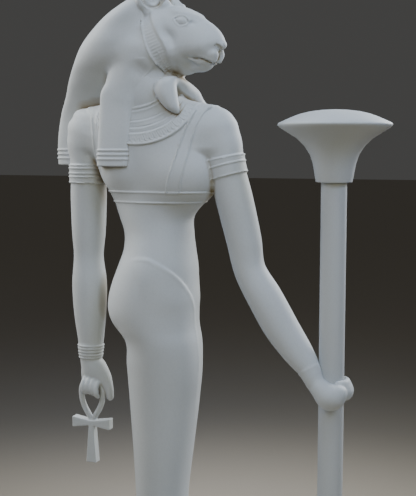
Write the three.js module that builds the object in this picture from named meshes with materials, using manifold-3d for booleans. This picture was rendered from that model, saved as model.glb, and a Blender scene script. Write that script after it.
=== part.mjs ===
/**
 * Standing lioness-headed goddess with a papyrus staff and an ankh, on a low base.
 *
 * The figure is posed as in Egyptian painting: head, hips and feet in profile, chest turned to the side.
 * The head and feet point along -Y, the chest faces -X, +Z is up. The origin is under the middle of the base.
 * Free forms are given in squares of the Egyptian canon, which divides a standing figure into rows:
 * soles at 0, knees near 6, waist at 12, top of the shoulders at 16, crown of the wig near 19.7.
 * A place in squares is (forward from the leg axis, towards the figure's right, up from the soles).
 */
import * as THREE from 'three';
import { mergeVertices } from 'three/addons/utils/BufferGeometryUtils.js';
import Module from 'manifold-3d';

const wasm = await Module();
wasm.setup();

// Driving dimensions in millimetres
const FIGURE_HEIGHT = 1917;
const GAP = 0.3;
const BASE_HEIGHT = 90;
const BASE_WIDTH = 500;
const BASE_MARGIN = 22;
const BASE_CHAMFER = 8;
const BASE_CORNER = 12;
const STAFF_HEIGHT = 1551;
const STAFF_RADIUS = 37;
const UMBEL_HEIGHT = 206;
const UMBEL_RADIUS = 163;
const UMBEL_FOOT_RADIUS = 52;
const ANKH_HEIGHT = 280;
const ANKH_SPAN = 130;
const ANKH_DEPTH = 42;
const ANKH_TUBE_RADIUS = 9;
const JEWEL_RISE = 5;
const RIM_RISE = 9;
const CUFF_RISE = 2;
const STRAP_RISE = 4;
const THIGH_RISE = 4;

// The canon: squares from the soles to the crown of the wig, and the length of one square
const HEIGHT_IN_SQUARES = 19.69;
const SQUARE = FIGURE_HEIGHT / HEIGHT_IN_SQUARES;

// Places in squares: the rear edge of the wig, the fist round the staff, the foot of the ankh, the chest axis
const WIG_REACH = 4.04;
const GRIP = { forward: 5.48, up: 7.62 };
const ANKH_PLACE = { forward: -2.39, side: 0.25, up: 4.56 };
const CHEST_AXIS = -0.175;
const HEAD_TURN = 10;

// Everything stands inside the base as seen from above
const baseBack = WIG_REACH * SQUARE + BASE_MARGIN;
const baseFront = GRIP.forward * SQUARE + UMBEL_RADIUS + BASE_MARGIN;
const legAxisY = (baseFront - baseBack) / 2;
const soleHeight = BASE_HEIGHT + GAP;
const shaftInSquares = STAFF_RADIUS / SQUARE;

const PALE_STONE = { color: 0xc9ccce, roughness: 0.85, metalness: 0 };

/** Turn a place in squares into millimetres. */
function place(point) {
  return new THREE.Vector3(-point.y * SQUARE, legAxisY - point.x * SQUARE, soleHeight + point.z * SQUARE);
}

/** Leave a place that is already in millimetres as it is. */
function asGiven(point) {
  return point;
}

/** Turn a place on the head, which looks a little towards the figure's right, into a place in squares. */
function turnedHead(point) {
  return point.clone().applyAxisAngle(new THREE.Vector3(0, 0, 1), THREE.MathUtils.degToRad(HEAD_TURN));
}

/** Make a closed geometry into a solid, with its faces pointing out. */
function solidFrom(geometry) {
  const bare = geometry.clone();
  bare.deleteAttribute('normal');
  bare.deleteAttribute('uv');
  const merged = mergeVertices(bare, 1e-3);
  const points = Float32Array.from(merged.attributes.position.array);
  const corners = Uint32Array.from(merged.index.array);
  const [a, b, c] = [new THREE.Vector3(), new THREE.Vector3(), new THREE.Vector3()];
  let volume = 0;
  for (let i = 0; i < corners.length; i += 3) {
    a.fromArray(points, corners[i] * 3);
    b.fromArray(points, corners[i + 1] * 3);
    c.fromArray(points, corners[i + 2] * 3);
    volume += a.dot(b.cross(c));
  }
  if (volume < 0) {
    corners.reverse();
  }
  return new wasm.Manifold(new wasm.Mesh({ numProp: 3, vertProperties: points, triVerts: corners }));
}

/** Join solids one after another. */
function join(solids) {
  return solids.reduce((whole, solid) => whole.add(solid));
}

/** One value on the smooth curve through four neighbouring values. */
function smoothValue(before, from, to, after, t) {
  const leave = (to - before) / 2;
  const arrive = (after - from) / 2;
  const cubic = 2 * (from - to) + leave + arrive;
  const quadratic = 3 * (to - from) - 2 * leave - arrive;
  return ((cubic * t + quadratic) * t + leave) * t + from;
}

/** Put smooth in-between stations between the given ones. */
function refine(stations, steps) {
  const last = stations.length - 1;
  const finer = [];
  for (let i = 0; i < last; i++) {
    const before = stations[Math.max(i - 1, 0)];
    const next = stations[i + 1];
    const after = stations[Math.min(i + 2, last)];
    for (let step = 0; step < steps; step++) {
      const between = (value, k) => smoothValue(before[k], value, next[k], after[k], step / steps);
      finer.push(stations[i].map(between));
    }
  }
  finer.push(stations[last]);
  return finer;
}

/** The station at a value of one column, on the straight line between its neighbours. */
function stationAt(stations, column, value) {
  const isPast = (a, b) => (a[column] - value) * (b[column] - value) <= 0;
  const i = stations.findIndex((station, k) => k > 0 && isPast(station, stations[k - 1]));
  const t = (value - stations[i - 1][column]) / (stations[i][column] - stations[i - 1][column]);
  return stations[i].map((later, k) => THREE.MathUtils.lerp(stations[i - 1][k], later, t));
}

/** The stations between two values of one column, cut exactly there. */
function stretch(stations, column, low, high) {
  const inside = stations.filter((station) => station[column] > low && station[column] < high);
  const ends = [stationAt(stations, column, low), stationAt(stations, column, high)];
  const rising = stations[0][column] < stations[stations.length - 1][column];
  return rising ? [ends[0], ...inside, ends[1]] : [ends[1], ...inside, ends[0]];
}

/** Lay a jewelled band over stations: a profile of levels in one column, each with a rise in millimetres. */
function withBand(stations, column, profile) {
  const levels = profile.map(([level]) => level);
  const [low, high] = [Math.min(...levels), Math.max(...levels)];
  const outside = stations.filter((station) => station[column] < low || station[column] > high);
  const band = profile.map(([level, rise]) => {
    const station = stationAt(stations, column, level);
    station[3] += rise / SQUARE;
    station[4] += rise / SQUARE;
    return station;
  });
  const direction = Math.sign(stations[stations.length - 1][column] - stations[0][column]);
  return [...outside, ...band].sort((a, b) => direction * (a[column] - b[column]));
}

/** A band's profile: a raised rim along both edges of a slightly lower strip. */
function rimmedProfile(low, high) {
  const edge = 0.02;
  const rim = 0.07;
  return [
    [low - edge, 0],
    [low + edge, RIM_RISE],
    [low + rim, JEWEL_RISE],
    [high - rim, JEWEL_RISE],
    [high - edge, RIM_RISE],
    [high + edge, 0],
  ];
}

/** A ring of points: an oval for power 2, squarer above that, narrower at its top with a taper. */
function ovalRing(centre, across, along, power, sides, taper = 0) {
  const soften = (value) => Math.sign(value) * Math.abs(value) ** (2 / power);
  return Array.from({ length: sides }, (_, i) => {
    const angle = (i / sides) * 2 * Math.PI;
    const high = soften(Math.sin(angle));
    const ring = centre.clone().addScaledVector(across, soften(Math.cos(angle)) * (1 - taper * high));
    return ring.addScaledVector(along, high);
  });
}

/** A closed body through rings of points, flat at both ends. */
function loft(rings, toMillimetres = place) {
  const count = rings[0].length;
  const last = rings.length - 1;
  const [start, end] = [rings[0], rings[last]].map((ring) =>
    ring.reduce((sum, point) => sum.add(point), new THREE.Vector3()).divideScalar(count));
  const triangles = [];
  for (let i = 0; i < count; i++) {
    const j = (i + 1) % count;
    triangles.push(start, rings[0][j], rings[0][i]);
    for (let r = 0; r < last; r++) {
      triangles.push(rings[r][i], rings[r][j], rings[r + 1][j]);
      triangles.push(rings[r][i], rings[r + 1][j], rings[r + 1][i]);
    }
    triangles.push(end, rings[last][i], rings[last][j]);
  }
  return solidFrom(new THREE.BufferGeometry().setFromPoints(triangles.map((point) => toMillimetres(point))));
}

/** A body of level rings. Stations: up, forward, side, half depth, half breadth, power. */
function levelLoft(stations, sides, rise = () => 0) {
  return loft(stations.map(([up, forward, side, depth, breadth, power]) => {
    const more = rise(up) / SQUARE;
    const centre = new THREE.Vector3(forward, side, up);
    const across = new THREE.Vector3(depth + more, 0, 0);
    return ovalRing(centre, across, new THREE.Vector3(0, breadth + more, 0), power, sides);
  }));
}

/** A limb along a path. Stations: forward, side, up, radius in the profile, radius to the side. */
function limb(stations, sides, rise = 0, toMillimetres = place) {
  const more = rise / SQUARE;
  const centres = stations.map(([forward, side, up]) => new THREE.Vector3(forward, side, up));
  return loft(stations.map((station, i) => {
    const before = centres[Math.max(i - 1, 0)];
    const after = centres[Math.min(i + 1, centres.length - 1)];
    const path = after.clone().sub(before).normalize();
    const sideways = new THREE.Vector3(0, 1, 0).addScaledVector(path, -path.y).normalize();
    const across = new THREE.Vector3().crossVectors(sideways, path).multiplyScalar(station[3] + more);
    return ovalRing(centres[i], across, sideways.multiplyScalar(station[4] + more), 2, sides);
  }), toMillimetres);
}

/** An egg-shaped swelling, tipped nose-down and then turned outwards, both in degrees. */
function swelling(centre, radii, { tip = 0, turn = 0, sides = 12, spot = (point) => point } = {}) {
  const ball = new THREE.SphereGeometry(1, sides, Math.round(sides * 0.6));
  ball.scale(...radii);
  ball.rotateY(THREE.MathUtils.degToRad(tip));
  ball.rotateZ(THREE.MathUtils.degToRad(turn));
  ball.translate(...centre);
  const points = ball.attributes.position;
  for (let i = 0; i < points.count; i++) {
    const point = place(spot(new THREE.Vector3().fromBufferAttribute(points, i)));
    points.setXYZ(i, ...point);
  }
  return solidFrom(ball);
}

/** A wall whose outline lies in the profile plane (forward, up), from one side to another. */
function wall(outline, nearSide, farSide) {
  return loft([nearSide, farSide].map((side) =>
    outline.map(([forward, up]) => new THREE.Vector3(forward, side, up))));
}

/** Mirror an outline on the chest about the chest's own axis. */
function mirrored(outline) {
  return outline.map(([forward, up]) => [2 * CHEST_AXIS - forward, up]);
}

// Body from the hem of the sheath dress to the neck: up, forward, side, half depth, half breadth, power
const BODY = [
  [0.92, 0.06, 0, 0.84, 0.98, 2.4],
  [2.20, 0.00, 0, 0.77, 0.96, 2.3],
  [3.60, -0.02, 0, 0.785, 1.02, 2.2],
  [5.20, 0.03, 0, 0.935, 1.10, 2.1],
  [6.77, 0.07, 0, 1.10, 1.20, 2],
  [8.00, 0.08, 0, 1.19, 1.32, 2],
  [8.82, 0.03, 0, 1.20, 1.41, 2],
  [9.20, -0.15, 0, 1.31, 1.46, 2],
  [9.65, -0.28, 0, 1.43, 1.50, 2],
  [10.15, -0.265, 0, 1.44, 1.50, 2],
  [10.63, -0.21, 0, 1.355, 1.46, 2],
  [11.15, -0.12, 0, 1.24, 1.38, 2],
  [11.66, -0.065, 0, 1.125, 1.22, 2],
  [12.17, -0.085, 0, 1.105, 1.08, 2],
  [12.67, -0.165, 0, 1.205, 1.03, 2],
  [13.05, -0.11, 0, 1.40, 1.03, 2],
  [13.43, 0.00, 0, 1.61, 1.06, 2.1],
  [13.95, -0.10, 0, 1.76, 1.12, 2.2],
  [14.50, -0.25, 0, 1.95, 1.14, 2.3],
  [15.10, -0.34, 0, 2.20, 1.10, 2.3],
  [15.60, -0.36, 0, 2.34, 0.98, 2.2],
  [15.90, -0.36, 0, 2.24, 0.88, 2.1],
  [16.10, -0.33, 0, 1.90, 0.90, 2.1],
  [16.28, -0.38, 0, 1.22, 0.95, 2.4],
  [16.60, -0.40, 0, 1.03, 0.97, 2.5],
  [17.20, -0.40, 0, 0.92, 0.84, 2.2],
  [17.60, -0.38, 0, 0.80, 0.70, 2],
];
const BODY_SIDES = 20;
const BREASTS = [[-1.00, 0.34, 14.06], [0.88, 0.34, 14.02]];
const BREAST_RADII = [0.84, 0.74, 0.74];

// Arms: forward, side, up, radius in the profile, radius to the side
const RIGHT_ARM = [
  [-2.05, 0, 15.72, 0.40, 0.42],
  [-2.38, 0, 15.44, 0.70, 0.62],
  [-2.54, 0, 15.05, 0.67, 0.66],
  [-2.54, 0, 14.45, 0.58, 0.62],
  [-2.55, 0, 13.10, 0.57, 0.59],
  [-2.56, 0, 12.07, 0.535, 0.55],
  [-2.575, 0, 11.35, 0.475, 0.50],
  [-2.545, 0.03, 10.50, 0.56, 0.54],
  [-2.52, 0.06, 9.43, 0.52, 0.50],
  [-2.49, 0.09, 8.60, 0.42, 0.42],
  [-2.49, 0.10, 8.20, 0.375, 0.37],
  [-2.485, 0.10, 7.92, 0.355, 0.34],
  [-2.40, 0.08, 7.60, 0.46, 0.36],
  [-2.34, 0.04, 7.25, 0.50, 0.36],
  [-2.31, 0.00, 6.92, 0.46, 0.32],
];
const LEFT_ARM = [
  [1.46, 0, 15.74, 0.40, 0.42],
  [1.72, 0, 15.42, 0.68, 0.62],
  [1.92, 0, 15.02, 0.66, 0.66],
  [2.11, 0, 14.30, 0.57, 0.62],
  [2.41, 0, 13.20, 0.565, 0.59],
  [2.71, 0, 12.00, 0.535, 0.55],
  [2.93, 0.02, 11.05, 0.485, 0.50],
  [3.40, 0.06, 10.28, 0.53, 0.54],
  [4.01, 0.14, 9.32, 0.515, 0.50],
  [4.58, 0.24, 8.60, 0.42, 0.43],
  [4.87, 0.32, 8.25, 0.335, 0.35],
  [5.11, 0.44, 7.82, 0.255, 0.27],
];
const ARM_SIDES = 10;

// Wig: a cap round the head that runs down behind the right shoulder, then the front and far lappets
const WIG = [
  [19.69, -0.42, 0, 0.12, 0.12, 2],
  [19.58, -0.42, 0, 0.42, 0.42, 2],
  [19.37, -0.42, 0, 0.54, 0.70, 2],
  [19.15, -0.60, 0, 0.70, 0.90, 2],
  [18.92, -0.82, 0, 0.83, 1.02, 2],
  [18.44, -1.13, 0, 1.09, 1.10, 2],
  [17.96, -1.32, 0, 1.32, 1.14, 2],
  [17.46, -1.46, -0.10, 1.50, 1.10, 2],
  [16.96, -1.94, -0.40, 1.39, 0.92, 2],
  [16.46, -2.35, -0.65, 1.24, 0.68, 2.3],
  [15.95, -2.53, -0.82, 1.32, 0.52, 2.8],
  [15.05, -2.62, -0.88, WIG_REACH - 2.62, 0.46, 3],
  [14.24, -2.62, -0.88, WIG_REACH - 2.62, 0.46, 3],
];
const FRONT_LAPPET = [
  [18.30, -0.55, 0.30, 0.60, 0.50, 2],
  [17.90, -0.50, 0.50, 0.80, 0.56, 2],
  [17.60, -0.50, 0.58, 0.84, 0.50, 2],
  [17.25, -0.62, 0.64, 0.78, 0.43, 2.2],
  [16.75, -0.94, 0.72, 0.60, 0.35, 2.8],
  [16.06, -1.10, 0.80, 0.56, 0.31, 3.6],
  [15.20, -1.12, 0.90, 0.545, 0.30, 4],
  [14.24, -1.15, 1.00, 0.53, 0.29, 4],
];
const FAR_LAPPET = [
  [17.35, -0.10, -0.20, 0.60, 0.55, 2],
  [17.00, -0.02, -0.40, 0.56, 0.48, 2],
  [16.70, 0.24, -0.60, 0.56, 0.42, 2],
  [16.23, 0.62, -0.90, 0.55, 0.36, 2.3],
  [15.70, 0.90, -1.12, 0.55, 0.30, 2.8],
  [15.05, 0.98, -1.22, 0.55, 0.28, 3],
  [14.24, 1.00, -1.26, 0.55, 0.28, 3],
];
const LOCK = [
  [0.56, 0.40, 17.05, 0.24, 0.24],
  [0.52, 0.68, 16.82, 0.32, 0.34],
  [0.46, 0.79, 16.55, 0.35, 0.33],
  [0.55, 0.84, 16.22, 0.31, 0.28],
  [0.80, 0.81, 15.86, 0.12, 0.16],
];
const HAIR_BAND = 0.46;

// Head along its own line of sight: forward, low, high, half breadth, power, taper towards the top
const HEAD = [
  [-0.70, 17.30, 18.92, 0.80, 2, 0],
  [0.00, 17.00, 19.08, 0.97, 2.2, 0],
  [0.48, 17.08, 19.11, 0.96, 2.2, 0.04],
  [0.88, 17.18, 19.04, 0.84, 2.2, 0.10],
  [1.24, 17.30, 18.87, 0.70, 2.3, 0.18],
  [1.58, 17.42, 18.66, 0.61, 2.3, 0.28],
  [1.85, 17.53, 18.46, 0.49, 2.2, 0.32],
  [2.02, 17.66, 18.31, 0.35, 2.1, 0.26],
  [2.14, 17.73, 18.15, 0.23, 2, 0.12],
  [2.23, 17.79, 17.99, 0.11, 2, 0],
];
const JAW = [
  [0.40, 16.99, 17.95, 0.64, 2, -0.2],
  [0.95, 17.01, 17.95, 0.52, 2, -0.2],
  [1.30, 17.09, 17.90, 0.42, 2, -0.2],
  [1.58, 17.13, 17.80, 0.33, 2, -0.2],
  [1.80, 17.24, 17.66, 0.20, 2, 0],
];

/** A body of upright rings along the head's line of sight. */
function headLoft(stations, sides) {
  return loft(stations.map(([forward, low, high, breadth, power, taper]) => {
    const centre = new THREE.Vector3(forward, 0, (low + high) / 2);
    const up = new THREE.Vector3(0, 0, (high - low) / 2);
    return ovalRing(centre, new THREE.Vector3(0, breadth, 0), up, power, sides, taper).map(turnedHead);
  }));
}

/** Head of the lioness: the upper face overhangs the jaw, with brows, eyes, nose, full lips and ears. */
function makeHead() {
  const lump = (centre, radii, lean) => swelling(centre, radii, { spot: turnedHead, sides: 8, ...lean });
  const paired = [1, -1].flatMap((side) => [
    lump([1.06, 0.50 * side, 18.56], [0.27, 0.16, 0.15], { tip: 14, turn: -20 * side }),
    lump([1.00, 0.40 * side, 18.79], [0.38, 0.24, 0.12], { tip: 16, turn: -12 * side }),
    lump([1.66, 0.17 * side, 17.61], [0.40, 0.26, 0.235]),
    makeEar(side),
  ]);
  const nose = lump([2.07, 0, 17.875], [0.215, 0.19, 0.15]);
  return join([headLoft(HEAD, 16), headLoft(JAW, 10), nose, ...paired]);
}

/** A rounded ear, hollowed towards the front, on a thick root. */
function makeEar(side) {
  const shape = { turn: 42 * side, spot: turnedHead, sides: 8 };
  const shell = swelling([0.05, 0.62 * side, 19.23], [0.20, 0.47, 0.42], { ...shape, sides: 10 });
  const root = swelling([0.28, 0.42 * side, 19.06], [0.34, 0.26, 0.24], { spot: turnedHead, sides: 7 });
  const hollow = swelling([0.20, 0.72 * side, 19.28], [0.21, 0.36, 0.32], shape);
  return shell.add(root).subtract(hollow);
}

/** The mane's band round the face: a leaning ring with a raised outer rim. */
function makeRuff() {
  const centre = new THREE.Vector3(0.40, 0, 17.93);
  const down = new THREE.Vector3(0.359, 0, -0.933);
  const ahead = new THREE.Vector3(0.933, 0, 0.359);
  const stations = [[-0.27, 0.98], [-0.25, 1.03], [-0.19, 1.03], [0.12, 0.97], [0.15, 0.90]];
  return loft(stations.map(([shift, size]) => {
    const across = new THREE.Vector3(0, 1.07 * size, 0);
    const along = down.clone().multiplyScalar(1.08 * size);
    return ovalRing(centre.clone().addScaledVector(ahead, shift), across, along, 2.1, 20).map(turnedHead);
  }));
}

/** The wig with its lappets, each with a ridge round it above its flat end. */
function makeWig() {
  const locks = [[WIG, 16], [FRONT_LAPPET, 12], [FAR_LAPPET, 8]].map(([stations, sides]) => {
    const level = stations[stations.length - 1][0] + HAIR_BAND;
    const ridge = [[level - 0.06, 0], [level, JEWEL_RISE], [level + 0.06, 0]];
    return levelLoft(withBand(stations, 0, ridge), sides);
  });
  return join([...locks, limb(LOCK, 8)]);
}

/** Torso and legs as one smooth sheath with a band under the breasts. */
function makeTorso() {
  return join([
    levelLoft(withBand(BODY, 0, rimmedProfile(13.12, 13.48)), BODY_SIDES),
    ...makeBreasts(0),
  ]);
}

/** The soft forms of the chest, everywhere fuller by a rise. */
function makeBreasts(rise) {
  const radii = BREAST_RADII.map((radius) => radius + rise / SQUARE);
  return BREASTS.map((centre) => swelling(centre, radii, { sides: 11 }));
}

/** The right arm with its armband and bracelet, and the palm it ends in. */
function makeRightArm() {
  const bracelet = withBand(RIGHT_ARM, 2, rimmedProfile(7.96, 8.38));
  return limb(withBand(bracelet, 2, rimmedProfile(13.70, 14.27)), ARM_SIDES);
}

/** The left arm with its armband and the low plain cuff at the wrist. */
function makeLeftArm() {
  const cuff = withBand(LEFT_ARM, 2, [[7.86, 0], [7.88, CUFF_RISE], [8.21, CUFF_RISE], [8.23, 0]]);
  return limb(withBand(cuff, 2, rimmedProfile(13.95, 14.50)), ARM_SIDES);
}

/** A half oval on the chest plane, from the left end round below to the right end. */
function halfOval(forward, up, halfWidth, drop, steps) {
  return Array.from({ length: steps + 1 }, (_, i) => {
    const angle = (i / steps) * Math.PI;
    return [forward - halfWidth * Math.cos(angle), up - drop * Math.sin(angle)];
  });
}

// Broad collar: half ovals round the neck and below it; the rim's inner edge is a share of its full size
const COLLAR = { forward: -0.36, up: 16.16, halfWidth: 1.86, drop: 1.25, beads: 0.92 };
const THROAT = { forward: -0.75, up: 16.42, halfWidth: 1.05, drop: 0.39 };
const STRAP = [
  [1.33, 15.95], [1.14, 15.40], [0.89, 14.45], [0.605, 13.40], [1.00, 13.40], [1.17, 14.30], [1.31, 15.07],
  [1.49, 15.72], [1.66, 15.97],
];
const THIGH = [
  [-0.45, 11.43], [0.02, 11.47], [0.42, 11.31], [0.88, 10.80], [1.11, 10.15], [1.17, 9.69], [1.30, 8.80],
  [1.60, 7.30], [-2.20, 7.30], [-2.20, 10.90],
];

/** The broad collar and the straps of the dress, raised on the chest. */
function makeCollarAndStraps() {
  const shell = (from, to, rise) => levelLoft(stretch(BODY, 0, from, to), BODY_SIDES, () => rise);
  const low = shell(14.75, 16.55, JEWEL_RISE);
  const high = shell(14.75, 15.80, RIM_RISE);
  const row = ({ forward, up, halfWidth, drop }, share, back) => {
    const outline = halfOval(forward, up, halfWidth * share, drop * share, 8);
    return wall([...outline, [forward, up + 0.6]], back, 2);
  };
  const plate = low.intersect(row(COLLAR, (1 + COLLAR.beads) / 2, 0).subtract(row(THROAT, 1, -0.1)));
  const ridge = high.intersect(row(COLLAR, 1, 0).subtract(row(COLLAR, COLLAR.beads, -0.1)));
  const chest = join([shell(13.30, 16.08, STRAP_RISE), ...makeBreasts(STRAP_RISE)]);
  const straps = [STRAP, mirrored(STRAP)].map((outline) => chest.intersect(wall(outline, 0.2, 2)));
  return join([plate, ridge, ...straps]);
}

/** The thighs stand a little proud of the sheath and melt into it above the knee. */
function makeThighs() {
  const fade = (up) => THIGH_RISE * THREE.MathUtils.smoothstep(up, 7.4, 9.2) - GAP;
  const skin = levelLoft(stretch(BODY, 0, 7.35, 11.6), BODY_SIDES, fade);
  return join([1, -1].map((side) => skin.intersect(wall(THIGH, 0.2 * side, 2 * side))));
}

/** Four fingers side by side, each with its thickness. Stations: inner middle and outward direction. */
function fourFingers(stations, along, width, thicknesses) {
  const knuckle = [[0, 0.70], [0.28, 1], [0.72, 1]];
  const outline = thicknesses.flatMap((thickness, finger) =>
    knuckle.map(([share, high]) => [(finger + share) / 4 - 0.5, high * thickness]));
  outline.push([0.5, 0.70 * thicknesses[3]], [0.5, 0], [-0.5, 0]);
  return loft(stations.map(([middle, outward]) => outline.map(([across, out]) =>
    middle.clone().addScaledVector(along, across * width).addScaledVector(outward, out))));
}

/** The right hand: thumb down its front, four fingers curled round the loop of the ankh. */
function makeRightHand() {
  const thumb = limb([
    [-2.20, 0.10, 7.74, 0.20, 0.20],
    [-1.95, 0.13, 7.34, 0.19, 0.18],
    [-1.82, 0.18, 6.98, 0.15, 0.15],
    [-1.77, 0.20, 6.74, 0.09, 0.10],
  ], 8);
  const curl = [[0.05, 7.22, 80], [0.32, 7.20, 55], [0.40, 7.08, 10], [0.40, 6.94, -15], [0.36, 6.88, -60]];
  const stations = curl.map(([side, up, angle]) => {
    const turn = THREE.MathUtils.degToRad(angle);
    return [new THREE.Vector3(-2.30, side, up), new THREE.Vector3(0, Math.cos(turn), Math.sin(turn))];
  });
  return join([thumb, fourFingers(stations, new THREE.Vector3(1, 0, 0), 0.68, [0.21, 0.21, 0.21, 0.21])]);
}

/** The left fist: a rounded back of the hand in front of the shaft, fingers round its far side. */
function makeLeftHand() {
  const { forward, up } = GRIP;
  const near = shaftInSquares + 0.20;
  const back = limb([
    [forward - 0.37, 0.44, up + 0.20, 0.27, 0.27],
    [forward - 0.12, near - 0.04, up + 0.01, 0.34, 0.30],
    [forward + 0.10, near - 0.02, up - 0.14, 0.40, 0.33],
    [forward + 0.31, near - 0.04, up - 0.04, 0.29, 0.26],
    [forward + 0.44, near - 0.08, up + 0.02, 0.17, 0.15],
  ], 10);
  const stations = [35, 80, 125, 170, 210].map((angle) => {
    const turn = THREE.MathUtils.degToRad(angle);
    const outward = new THREE.Vector3(Math.sin(turn), Math.cos(turn), 0);
    const middle = new THREE.Vector3(forward, 0, up + 0.02).addScaledVector(outward, shaftInSquares + 0.01);
    return [middle, outward];
  });
  return join([back, fourFingers(stations, new THREE.Vector3(0, 0, -1), 0.66, [0.14, 0.25, 0.31, 0.25])]);
}

/** A bare foot flat on the ground, with five toes. */
function makeFoot(forward, side) {
  const outer = Math.sign(side);
  const foot = levelLoft([
    [0.00, 0.62 + forward, side, 1.22, 0.40, 2.6],
    [0.14, 0.62 + forward, side, 1.24, 0.43, 2.5],
    [0.30, 0.42 + forward, side, 1.02, 0.40, 2.3],
    [0.52, 0.10 + forward, side, 0.68, 0.35, 2.1],
    [0.80, -0.14 + forward, side, 0.44, 0.33, 2],
    [1.15, -0.20 + forward, side, 0.40, 0.33, 2],
  ], 10);
  const toes = [0, 1, 2, 3, 4].map((toe) => {
    const size = toe === 0 ? 0.13 : 0.085;
    const across = toe === 0 ? -0.27 : -0.16 + toe * 0.135;
    const reach = 1.80 - (toe === 0 ? 0 : 0.02 + toe * toe * 0.022);
    return swelling([reach + forward, side + across * outer, size], [0.22, size, size], { sides: 6 });
  });
  return join([foot, ...toes]);
}

/** The loop, cross bar and foot of the ankh, everywhere thicker by a rise. */
function makeAnkh(rise = 0) {
  const tall = ANKH_HEIGHT / SQUARE;
  const reach = ANKH_SPAN / SQUARE / 2 + rise / SQUARE;
  const half = (ANKH_DEPTH / 2 + rise) / SQUARE;
  const tube = ANKH_TUBE_RADIUS / SQUARE;
  const more = rise / SQUARE;
  const { forward, side, up } = ANKH_PLACE;
  const knot = up + tall * 0.455;
  const loopTop = up + tall - tube;
  const swell = [[0, 0], [0.38, 0.20], [0.80, 0.40], [1, 0.66], [0.80, 0.87], [0, 1]];
  const loopHalfWidth = 0.385;
  const arc = [...swell, ...swell.slice(0, -1).reverse().map(([wide, high]) => [-wide, high])];
  const stations = arc.map(([wide, high]) =>
    [forward + wide * loopHalfWidth, side, knot + high * (loopTop - knot), tube, tube]);
  const loop = limb(refine(stations, 2), 8, rise);
  const [waist, bar, foot] = [0.075, 0.18, 0.18];
  const quarter = [
    [waist + more, waist + more],
    [reach, bar + more],
    [reach, -bar - more],
    [waist + more, -waist - more],
    [foot + more, up - more - knot],
  ];
  const outline = [...quarter, ...[...quarter].reverse().map(([wide, high]) => [-wide, high])];
  const cross = wall(outline.map(([wide, high]) => [forward + wide, knot + high]), side - half, side + half);
  return join([loop, cross]);
}

/** The papyrus staff: a plain shaft under an open umbel with a domed top. */
function makeStaff(rise = 0) {
  const foot = STAFF_HEIGHT - UMBEL_HEIGHT;
  const profile = [
    [0, -rise],
    [STAFF_RADIUS + rise, -rise],
    [STAFF_RADIUS + rise, foot],
    [UMBEL_FOOT_RADIUS - 2, foot],
    [UMBEL_FOOT_RADIUS, foot + 3],
  ];
  const flare = [[0.14, 0.35], [0.32, 0.4], [0.47, 0.5], [0.6, 0.66], [0.7, 0.86], [0.775, 1]];
  const dome = [[0.81, 0.985], [0.86, 0.86], [0.94, 0.60]];
  for (const [high, wide] of [...flare, ...dome]) {
    profile.push([wide * UMBEL_RADIUS, foot + high * UMBEL_HEIGHT]);
  }
  profile.push([0, STAFF_HEIGHT]);
  const lathe = new THREE.LatheGeometry(profile.map(([wide, high]) => new THREE.Vector2(wide, high)), 24);
  lathe.rotateX(Math.PI / 2);
  lathe.translate(0, legAxisY - GRIP.forward * SQUARE, soleHeight);
  return solidFrom(lathe);
}

/** The low base, with its upper edge and upright corners taken off. */
function makeBase() {
  const outline = (inset) => {
    const x = BASE_WIDTH / 2 - inset;
    const y = (baseBack + baseFront) / 2 - inset;
    const corner = BASE_CORNER;
    const quarter = [[x, y - corner], [x - corner, y]];
    const half = [...quarter, ...[...quarter].reverse().map(([across, along]) => [-across, along])];
    return [...half, ...half.map(([across, along]) => [-across, -along])];
  };
  const levels = [[0, 0], [BASE_HEIGHT - BASE_CHAMFER, 0], [BASE_HEIGHT, BASE_CHAMFER]];
  return loft(levels.map(([up, inset]) =>
    outline(inset).map(([across, along]) => new THREE.Vector3(across, along, up))), asGiven);
}

/** The whole figure, open where the staff and the ankh pass through its hands. */
function makeFigure() {
  const whole = join([
    makeTorso(),
    makeCollarAndStraps(),
    makeThighs(),
    makeRightArm(),
    makeLeftArm(),
    makeRightHand(),
    makeLeftHand(),
    makeWig(),
    makeHead(),
    makeRuff(),
    makeFoot(-0.40, 0.52),
    makeFoot(0.40, -0.52),
  ]);
  return whole.subtract(makeStaff(GAP)).subtract(makeAnkh(GAP));
}

/** Wrap a solid as a named mesh of its own. */
function named(name, solid) {
  const { vertProperties, triVerts } = solid.getMesh();
  const geometry = new THREE.BufferGeometry();
  geometry.setAttribute('position', new THREE.BufferAttribute(vertProperties, 3));
  geometry.setIndex(new THREE.BufferAttribute(triVerts, 1));
  geometry.computeVertexNormals();
  const mesh = new THREE.Mesh(geometry, new THREE.MeshStandardMaterial(PALE_STONE));
  mesh.name = name;
  return mesh;
}

const statue = new THREE.Group();
statue.add(named('base', makeBase()));
statue.add(named('figure', makeFigure()));
statue.add(named('papyrus_staff', makeStaff()));
statue.add(named('ankh', makeAnkh()));

export default statue;
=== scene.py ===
"""Standing lioness-headed goddess with papyrus staff and ankh, carved in pale matt stone.

The figure is a smooth carved form. It is written as a distance field in squares of the Egyptian canon,
turned into a mesh, made finer where the carving is fine, and laid exactly onto the field.
A place in squares is (forward from the leg axis, towards the figure's right, up from the soles).
"""

import logging
import math
from collections.abc import Callable, Sequence
from dataclasses import dataclass, field, replace
from enum import Enum
from functools import cached_property

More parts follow.
